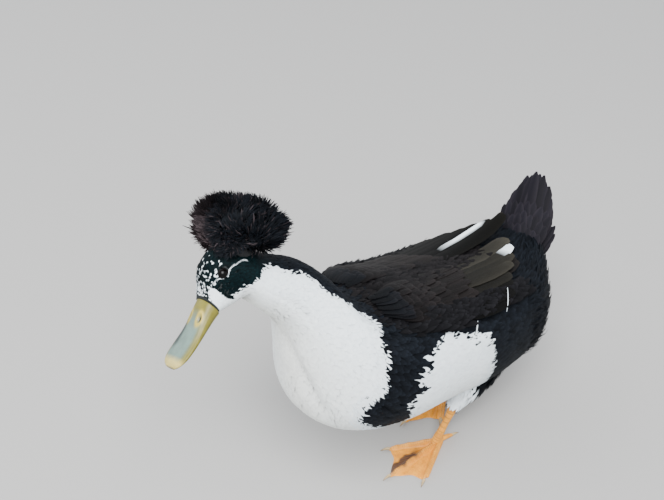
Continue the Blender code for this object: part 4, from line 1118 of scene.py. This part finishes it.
def make_bill(name, above):
    """One half of the bill, as rings that are flat along the line of the mouth."""
    ahead, up, width, top, under = smooth_row(BILL, BILL_ROWS).T
    a = np.linspace(0, np.pi, BILL_SIDES)
    height = top if above else -under
    width = (width if above else width - UNDER_INSET)[:, None]
    left = width * np.cos(a)[None]
    lip = MOUTH_GAP / 2 if above else -MOUTH_GAP / 2
    high = up[:, None] + lip + height[:, None] * np.sin(a)[None] ** 0.8
    forward = np.repeat(ahead[:, None], BILL_SIDES, 1)
    edge = np.abs(left) / width
    if above:
        # A pit for each nostril with a raised rim, the nail, and a groove inside each edge.
        rim, pit = np.zeros_like(left), np.zeros_like(left)
        for side in (1, -1):
            away = np.hypot((forward - NOSTRIL[0]) / NOSTRIL_REACH[0],
                            (left - side * NOSTRIL[1]) / NOSTRIL_REACH[1])
            high = high - 1.8 * np.exp(-(away / 0.75) ** 4) + 0.45 * np.exp(-((away - 1.15) / 0.3) ** 2)
            rim = np.maximum(rim, np.exp(-((away - 1.2) / 0.55) ** 2))
            pit = np.maximum(pit, np.exp(-(away / 0.55) ** 4))
        nail = np.hypot((forward - NAIL) / NAIL_REACH[0], left / NAIL_REACH[1])
        high = high + 0.5 * np.clip(1.2 - nail, 0, 1) ** 0.5
        high = high - 0.35 * np.exp(-((np.clip(edge, 0, 1) - 0.9) / 0.05) ** 2)
        at_root, at_edge = np.clip((44 - forward) / 10, 0, 1), np.clip((edge - 0.62) / 0.25, 0, 1)
        tint = mixed(BILL_GREEN, BILL_OLIVE, np.maximum(at_root, at_edge))
        tint = mixed(tint, BILL_YELLOW, rim)
        dark = np.exp(-((forward - 57) / 13) ** 4 - ((left + 8.6) / 3.4) ** 4)
        tint = mixed(tint, BILL_SLATE, 0.97 * dark)
        tint = mixed(tint, BILL_PALE, np.clip((forward - 76) / 5, 0, 1))
        # The pits are painted near black: painted shade inside the nostrils.
        tint = mixed(tint, NOSTRIL_SHADE, pit)
    else:
        tint = np.broadcast_to(0.9 * BILL_OLIVE, (*left.shape, 3))
    rings = on_head(forward, left, high)
    where = np.stack(np.broadcast_arrays((forward - 20) / 70, 0.1 + 0.8 * a[None] / np.pi), -1)
    if above:
        rings, tint, where = rings[:, ::-1], tint[:, ::-1], where[:, ::-1]
    return closed_grid(name, rings, tint, where)


def bill_finish():
    """Satin horn, faintly blotched."""
    material, tree, shader, tint = new_finish("bill_horn", 0.38, Specular_IOR_Level=0.28, Coat_Weight=0.08,
                                              Coat_Roughness=0.3, Subsurface_Weight=0.06)
    shader.inputs["Subsurface Radius"].default_value = (0.004, 0.003, 0.002)
    blotch = ramp(tree, noise(tree, 160.0, 5.0), (0.3, (0.82, 0.82, 0.80)), (0.7, (1.08, 1.08, 1.06)))
    mottle(tree, shader, tint, blotch)
    bump(tree, shader, noise(tree, 500.0, 4.0, stretch=(1, 1, 2)), 0.25, 0.0004)
    return material


BILL_FINISH = bill_finish()
for name, above, node in (("upper_bill", True, "bill_upper"), ("lower_bill", False, "bill_lower")):
    half = make_bill(name, above)
    half.data.materials.append(BILL_FINISH)
    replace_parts(half, node)
    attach(half, "root")

# Eyes: wet and almost black, set in the black of the face. Each is a ball that lies in the skin,
# with a thin ring of bare lid round the part that shows.

EYE_RADIUS, EYE_DEPTH, PUPIL_RADIUS = 5.2, 3.6, 2.0
PUPIL_BLACK, IRIS_BROWN = np.array((0.002, 0.002, 0.002)), np.array((0.0014, 0.0010, 0.0009))
LID_RADIUS, LID_HEIGHT, LID_THICK, LID_SIDES, LID_TONE = 4.2, 0.80, 0.55, 64, 0.0012


def make_eye(name, side):
    """An eyeball and its lid, on the left where side is 1 and on the right where it is -1."""
    angle = on_side(EYE_ANGLE, side)
    out = body_slopes(EYE_T, angle)[2]
    raised = unit(HEAD_FRAME[2] - (HEAD_FRAME[2] @ out) * out)
    ahead = np.cross(raised, out)
    centre = over_body(np.array(EYE_T), np.array(angle), np.array(-EYE_DEPTH))
    a, b = ball_angles(48, 64, 0.01)
    ball = centre + EYE_RADIUS * (np.cos(a)[..., None] * out + (np.sin(a) * np.cos(b))[..., None] * ahead
                                  + (np.sin(a) * np.sin(b))[..., None] * raised)
    iris = IRIS_BROWN * (0.8 + 0.4 * np.cos(40 * b)[..., None] ** 2)
    tint = np.where((np.sin(a) * EYE_RADIUS < PUPIL_RADIUS)[..., None], PUPIL_BLACK, iris)
    where = np.stack((b / 6.3 * 0.9 + 0.05, a / np.pi * 0.9 + 0.05), -1)
    eye = closed_grid(name, ball, tint, where)
    b = np.linspace(0, 2 * np.pi, LID_SIDES + 1)[:-1, None]
    rim = centre + EYE_DEPTH * out + LID_RADIUS * (np.cos(b) * ahead + LID_HEIGHT * np.sin(b) * raised)
    rim = rim + (0.3 - 0.5 * np.cos(b) ** 2) * out
    away = unit(rim - rim.mean(0))
    c = (2 * np.pi * np.arange(12) / 12)[None, :, None]
    points = (rim[:, None] + LID_THICK * (np.cos(c) * away[:, None] + np.sin(c) * out)).reshape(-1, 3)
    triangles = grid_triangles(LID_SIDES + 1, 12) % len(points)
    lid = make_mesh(name + "_lid", points, triangles, np.full(points.shape, LID_TONE),
                    np.full((len(points), 2), 0.5))
    return eye, lid


def eye_finishes():
    """The wet ball, and the bare skin of the lid."""
    wet, tree, shader, tint = new_finish("wet_eye", 0.08, Specular_IOR_Level=0.12)
    rays = ramp(tree, noise(tree, 700.0, 4.0), (0.3, (0.6, 0.6, 0.6)), (0.7, (1.2, 1.2, 1.2)))
    mottle(tree, shader, tint, rays)
    lids, tree, shader, tint = new_finish("lid_skin", 0.6, Specular_IOR_Level=0.1)
    folds = noise(tree, 2500.0, 3.0)
    mottle(tree, shader, tint, ramp(tree, folds, (0.3, (0.7, 0.7, 0.7)), (0.7, (1.3, 1.3, 1.2))))
    bump(tree, shader, folds, 0.5, 0.0002)
    return wet, lids


WET_EYE, LID_SKIN = eye_finishes()
for side, node in ((1, "eye_left"), (-1, "eye_right")):
    eye, lid = make_eye(node.replace("eye_", "eyeball_"), side)
    eye.data.materials.append(WET_EYE)
    lid.data.materials.append(LID_SKIN)
    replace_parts(eye, node)
    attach(eye, "root")
    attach(lid, "root")

# Legs and feet: bare orange legs with plates of horn down the front and small scales behind, three
# long toes joined by a thin web with scalloped edges, and a short hind toe above the ground.

# Side, heel forward and left, turn of the middle toe, and hock.
LEGS = (
    ("left", 1, (-12, 39), -4, THIGHS[0][0]),
    ("right", -1, (-80, -12), 5, THIGHS[1][0]),
)
TOES = ((-30, 54), (0, 72), (28, 58))      # turn from the middle toe, and length, inner to outer
HIND_TOE, ANKLE_TOP = (172, 15), 12.0
ORANGE, WEB_ORANGE = np.array((0.80, 0.345, 0.030)), np.array((0.80, 0.330, 0.024))
STREAK = np.array((0.045, 0.026, 0.024))
HORN_PALE, HORN_BROWN = np.array((0.50, 0.38, 0.20)), np.array((0.16, 0.10, 0.05))
PLATE_STEP, TOE_STEP = 3.1, 2.3            # from one plate to the next down the leg and along a toe
SHANK_ROWS, SHANK_SIDES, SHANK_RADII = 150, 48, (2.5, 5.6, 5.3, 3.7, 4.1, 4.6, 4.9)


def grooves(along, step, width):
    """1 in the grooves between plates and 0 on them."""
    return np.exp(-(((along / step) % 1.0 - 0.5) * step / width) ** 2)


def round_rings(middles, widths, sides, up=(1.0, 0.0, 0.0), heights=None):
    """Rings of a round or oval tube through these middles, square to its run."""
    middles, widths = np.array(middles, float), np.array(widths, float)
    heights = widths if heights is None else np.array(heights, float)
    run = unit(np.gradient(middles, axis=0))
    across = unit(np.cross(np.array(up), run))
    raised = np.cross(run, across)
    a = 2 * np.pi * (np.arange(sides) + 0.5) / sides
    return (middles[:, None] + widths[:, None, None] * np.cos(a)[None, :, None] * across[:, None]
            + heights[:, None, None] * np.sin(a)[None, :, None] * raised[:, None])


def make_shank(name, heel, hock):
    """A bare leg from inside the thigh down to the ankle, with plates down the front."""
    hock, foot = np.array(hock, float), np.array((heel[0] + 3, heel[1], ANKLE_TOP), float)
    run = unit(foot - hock)
    length = np.linalg.norm(foot - hock)
    stops = (-7, -2.5, 4, 0.5 * length, length - 4, length, length + 9)
    middles = smooth_row([hock + run * d for d in stops], SHANK_ROWS)
    widths = smooth_row(SHANK_RADII, SHANK_ROWS)
    rings = round_rings(middles, widths * 0.94, SHANK_SIDES, heights=widths * 1.04)
    out = unit(rings - middles[:, None])
    front = np.clip(out[..., 0] * 1.6, 0, 1)
    groove = grooves(np.linspace(0, length + 16, SHANK_ROWS), PLATE_STEP, 0.35)[:, None] * front
    rings = rings - (0.30 * groove)[..., None] * out + (0.12 * front)[..., None] * out
    tint = ORANGE * (1 - 0.45 * groove[..., None]) * (0.88 + 0.12 * front[..., None])
    down, round_leg = np.linspace(0.05, 0.95, SHANK_ROWS), np.linspace(0.05, 0.95, SHANK_SIDES)
    return closed_grid(name, rings, tint, np.stack(np.meshgrid(down, round_leg, indexing="ij"), -1))


def foot_angles(bearings):
    """Bearings across the foot, close together in the web and wider beside the outermost toes."""
    beside = np.radians((90, 62, 42, 29, 20, 14, 10, 7, 5, 3.5, 2.3, 1.4, 0.7))
    web = np.linspace(bearings[0], bearings[-1], 64)
    return np.concatenate((bearings[0] - beside, web, bearings[-1] + beside[::-1]))


TOE_HALF, WEB_SHORT, SCALLOP = 1.9, 3.0, 0.10     # the web ends short of the toes, in scallops
FOOT_MARGIN = 3.1                         # how far the foot reaches beside its outermost toes
TOE_JOINTS, TOE_HIGH = (0.34, 0.62, 0.85), 1.85


def foot_reach(angles, bearings, lengths):
    """How far the foot reaches at each bearing: the toes' ends and the scalloped web between."""
    place = np.interp(angles, bearings, np.arange(3.0))
    web = np.interp(angles, bearings, np.array(lengths) - WEB_SHORT)
    web = web * (1 - SCALLOP * np.sin(np.pi * place) ** 2)
    beside = np.abs(angles - np.clip(angles, bearings[0], bearings[-1]))
    reach = np.where(beside > 0, FOOT_MARGIN / np.maximum(np.sin(beside), 0.02), web)
    for bearing, length in zip(bearings, lengths):
        aside = np.minimum(np.abs(angles - bearing) * length, TOE_HALF)
        tip = length - TOE_HALF + np.sqrt(TOE_HALF**2 - aside**2)
        longer = np.where(aside < TOE_HALF, np.maximum(reach, tip), reach)
        reach = np.where(beside > 0, np.minimum(reach, tip), longer)
    return reach


def make_foot(name, side, heel, turn):
    """The web with its three long toes as one sheet, flat below and with the toes' backs above."""
    toes = sorted((turn_of * side, length) for turn_of, length in TOES)
    bearings, lengths = np.radians([toe[0] for toe in toes]), [toe[1] for toe in toes]
    angles = foot_angles(bearings)
    share = np.linspace(0.02, 1.0, 130)[:, None]
    reach = share * foot_reach(angles, bearings, lengths)[None]
    ripples = np.cos(9 * np.interp(angles, bearings, np.arange(3.0)) * np.pi)[None]
    web = 1.5 + 0.25 * ripples * share + 4.5 * np.exp(-(reach / 7.0) ** 2)
    height, groove, on_toe = web**4, np.zeros(reach.shape), np.zeros(reach.shape)
    for bearing, length in zip(bearings, lengths):
        x, aside = reach * np.cos(angles - bearing), reach * np.sin(angles - bearing)
        thick = np.interp(x, (0, 0.45 * length, length - 3, length), (4.0, 3.3, 2.6, 1.8))
        for joint in TOE_JOINTS:
            thick = thick + 0.35 * np.exp(-((x - joint * length) / 2.6) ** 2)
        across = np.exp(-(aside / (0.88 * thick)) ** 2)
        height = height + (TOE_HIGH * thick * across) ** 4
        groove = np.maximum(groove, grooves(x, TOE_STEP, 0.32) * across**2)
        on_toe = np.maximum(on_toe, across)
    height = height**0.25 - 0.32 * groove
    height = height * (0.25 + 0.75 * np.sqrt(np.clip(1 - share**14, 0, 1)))
    ahead, aside = reach * np.cos(angles), reach * np.sin(angles)
    a = math.radians(turn)
    forward = heel[0] + ahead * math.cos(a) - aside * math.sin(a)
    left = heel[1] + ahead * math.sin(a) + aside * math.cos(a)
    top = np.stack((forward, left, height), -1)
    under = np.stack((forward, left, np.full(height.shape, 0.02) + 0.3 * share**10), -1)
    tint = mixed(WEB_ORANGE, ORANGE, on_toe) * (1 - 0.4 * groove[..., None]) * (0.9 + 0.15 * share[..., None])
    if side > 0:
        # A dark wavy streak along the middle of the left foot's web.
        wavy = 1.1 * np.sin(0.33 * ahead) + 0.5 * np.sin(0.8 * ahead + 1.0)
        streak = np.exp(-((aside + 4.5 + wavy) / 5.0) ** 4 - ((ahead - 50) / 22) ** 4)
        patchy = 0.93 + 0.07 * np.sin(0.9 * ahead + 2.2 * aside)
        tint = mixed(tint, STREAK, np.clip(1.5 * streak, 0, 1) * patchy)
    rows, columns = height.shape
    ids, lower = np.arange(rows * columns).reshape(rows, columns), rows * columns
    rim = np.concatenate((ids[0, :-1], ids[:-1, -1], ids[-1, :0:-1], ids[:0:-1, 0]))
    after = np.roll(rim, -1)
    sheet = grid_triangles(rows, columns, wrapped=False)
    wall = (np.column_stack((rim, rim + lower, after)), np.column_stack((after, rim + lower, after + lower)))
    bake = np.stack(np.broadcast_arrays(share, np.linspace(0.02, 0.98, columns)[None]), -1) * 0.9 + 0.05
    return make_mesh(name, np.concatenate((top, under)).reshape(-1, 3),
                     np.concatenate((sheet, sheet[:, ::-1] + lower, *wall)),
                     np.concatenate((tint, tint)).reshape(-1, 3), np.concatenate((bake, bake)).reshape(-1, 2))


def toe_line(heel, turn, side, toe):
    """Where a toe starts on the ground, the way it points and its length."""
    a = math.radians(turn + toe[0] * side)
    return np.array((heel[0], heel[1], 0.0)), np.array((math.cos(a), math.sin(a), 0.0)), toe[1]


def make_hind_toe(name, heel, turn, side):
    """The short hind toe, ringed with scales."""
    start, back, length = toe_line(heel, turn, side, HIND_TOE)
    spots = ((-3, 5), (length * 0.6, 3.6), (length, 2.2))
    middles = smooth_row([start + back * d + (0, 0, high) for d, high in spots], 40)
    radii = smooth_row((3.4, 2.4, 1.5), 40) - 0.15 * grooves(np.linspace(0, 18, 40), TOE_STEP, 0.4)
    rings = round_rings(middles, radii, 24, up=(0, 0, 1))
    return closed_grid(name, rings, np.broadcast_to(ORANGE, rings.shape), np.full((*rings.shape[:2], 2), 0.5))


def make_claw(name, heel, turn, side, toe):
    """A blunt claw that runs on from its toe and turns down to the ground."""
    start, ahead, length = toe_line(heel, turn, side, toe)
    base = start + ahead * (length - 0.8) + (0, 0, 2.2)
    middles = smooth_row([base, base + ahead * 4.6 + (0, 0, 0.1), base + ahead * 9.6 + (0, 0, -1.4)], 30)
    widths, heights = smooth_row((1.5, 1.15, 0.2), 30), smooth_row((1.7, 1.2, 0.2), 30)
    rings = round_rings(middles, widths, 20, up=(0, 0, 1), heights=heights)
    rings[..., 2] = np.maximum(rings[..., 2], 0.1)
    share = np.broadcast_to(np.linspace(0, 1, 30)[:, None], rings.shape[:2])
    bake = np.stack(np.broadcast_arrays(share, np.linspace(0.05, 0.95, 20)[None]), -1)
    return closed_grid(name, rings, mixed(HORN_PALE, HORN_BROWN, share**2), bake)


def leg_finishes():
    """The scaled skin of legs and feet, and the horn of the claws."""
    skin, tree, shader, tint = new_finish("leg_skin", 0.42, Specular_IOR_Level=0.4, Subsurface_Weight=0.08)
    shader.inputs["Subsurface Radius"].default_value = (0.004, 0.0015, 0.0006)
    cells = tree.nodes.new("ShaderNodeTexVoronoi")
    cells.feature = "DISTANCE_TO_EDGE"
    cells.inputs["Scale"].default_value = 950.0
    tree.links.new(tree.nodes.new("ShaderNodeTexCoord").outputs["Object"], cells.inputs["Vector"])
    scales = ramp(tree, cells.outputs["Distance"], (0.0, (0.72, 0.62, 0.55)), (0.12, (1.0, 1.0, 1.0)))
    stains = ramp(tree, noise(tree, 120.0, 5.0), (0.3, (0.80, 0.74, 0.66)), (0.65, (1.06, 1.06, 1.04)))
    mottle(tree, shader, blend(tree, "MULTIPLY", tint, scales), stains)
    bump(tree, shader, cells.outputs["Distance"], 0.35, 0.0004)
    horn, tree, shader, tint = new_finish("claw_horn", 0.35, Specular_IOR_Level=0.45)
    lines = noise(tree, 420.0, 4.0, stretch=(1, 1, 4))
    mottle(tree, shader, tint, ramp(tree, lines, (0.3, (0.75, 0.72, 0.7)), (0.7, (1.1, 1.1, 1.1))))
    bump(tree, shader, lines, 0.3, 0.0002)
    return skin, horn


LEG_SKIN, CLAW_HORN = leg_finishes()
for side_name, side, heel, turn, hock in LEGS:
    shank = make_shank(f"bare_leg_{side_name}", heel, hock)
    foot = make_foot(f"webbed_foot_{side_name}", side, heel, turn)
    foot = join(f"webbed_foot_{side_name}", foot, make_hind_toe(f"hind_{side_name}", heel, turn, side))
    pieces = [(shank, LEG_SKIN, "leg", f"shank_{side_name}"), (foot, LEG_SKIN, "leg", f"foot_{side_name}")]
    for number, toe in enumerate((*TOES, HIND_TOE), 1):
        nail = make_claw(f"toenail_{side_name}_{number}", heel, turn, side, toe)
        pieces.append((nail, CLAW_HORN, "claw", f"claw_{side_name}_{number}"))
    for piece, finish, slot, node in pieces:
        piece.data.materials.append(finish)
        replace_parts(piece, node)
        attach(piece, "root")

# Light, floor and camera: a pale floor under a broad soft light, seen from ahead, above and to
# the left of the duck.

FLOOR_REACH, FLOOR_COLOUR = 4.0, (0.36, 0.355, 0.345, 1.0)
# Name, place, size in metres and power in watts of each light. Both are aimed at the duck's middle.
LIGHTS = (("key", (1.0, -1.1, 2.2), 1.5, 150), ("fill", (-1.6, -0.6, 1.4), 2.2, 22))
LIGHT_AIM = (0, 0, 0.15)
SKY_COLOUR, SKY_STRENGTH = (0.92, 0.95, 1.0, 1.0), 1.5


def make_floor():
    mesh = bpy.data.meshes.new("floor")
    corners = [(x * FLOOR_REACH, y * FLOOR_REACH, 0) for x, y in ((-1, -1), (1, -1), (1, 1), (-1, 1))]
    mesh.from_pydata(corners, [], [(0, 1, 2, 3)])
    floor = bpy.data.objects.new("floor", mesh)
    bpy.context.scene.collection.objects.link(floor)
    material = bpy.data.materials.new("pale_floor")
    material.use_nodes = True
    shader = material.node_tree.nodes["Principled BSDF"]
    shader.inputs["Base Color"].default_value = FLOOR_COLOUR
    shader.inputs["Roughness"].default_value = 0.7
    mesh.materials.append(material)


def look_angles(away):
    """The turn that makes something at this offset face back to where it is measured from."""
    away = unit(np.array(away, float))
    return (math.acos(away[2]), 0.0, math.atan2(away[0], -away[1]))


def make_light(name, place, size, power):
    light = bpy.data.lights.new(name, "AREA")
    light.size, light.energy = size, power
    obj = bpy.data.objects.new(name, light)
    obj.location = place
    obj.rotation_euler = look_angles(np.array(place) - np.array(LIGHT_AIM))
    bpy.context.scene.collection.objects.link(obj)


VIEW_AZIMUTH, VIEW_HEIGHT, VIEW_DISTANCE = math.radians(44), math.radians(37), 1.3
VIEW_FOCAL = 1340.0                       # in pixels of the 664 x 500 frame
# A place at the duck's middle, in metres, and the pixel at which the frame shows it.
TARGET, TARGET_PIXEL = (0.00708, 0.02398, 0.130), (408.0, 333.0)
FRAME_WIDTH, FRAME_HEIGHT, SENSOR = 664.0, 500.0, 36.0


def make_camera():
    camera = bpy.data.cameras.new("camera")
    camera.sensor_width, camera.lens = SENSOR, SENSOR * VIEW_FOCAL / FRAME_WIDTH
    obj = bpy.data.objects.new("camera", camera)
    level = math.cos(VIEW_HEIGHT)
    back = np.array((math.sin(VIEW_AZIMUTH) * level, -math.cos(VIEW_AZIMUTH) * level, math.sin(VIEW_HEIGHT)))
    right = np.array((math.cos(VIEW_AZIMUTH), math.sin(VIEW_AZIMUTH), 0.0))
    up = np.cross(back, right)
    across = (TARGET_PIXEL[0] - FRAME_WIDTH / 2) / VIEW_FOCAL
    down = (TARGET_PIXEL[1] - FRAME_HEIGHT / 2) / VIEW_FOCAL
    obj.location = np.array(TARGET) - VIEW_DISTANCE * (across * right - down * up - back)
    obj.rotation_euler = look_angles(back)
    bpy.context.scene.collection.objects.link(obj)
    bpy.context.scene.camera = obj


make_floor()
for light in LIGHTS:
    make_light(*light)
world = bpy.data.worlds.new("studio")
world.use_nodes = True
sky = world.node_tree.nodes["Background"]
sky.inputs["Color"].default_value = SKY_COLOUR
sky.inputs["Strength"].default_value = SKY_STRENGTH
bpy.context.scene.world = world
make_camera()
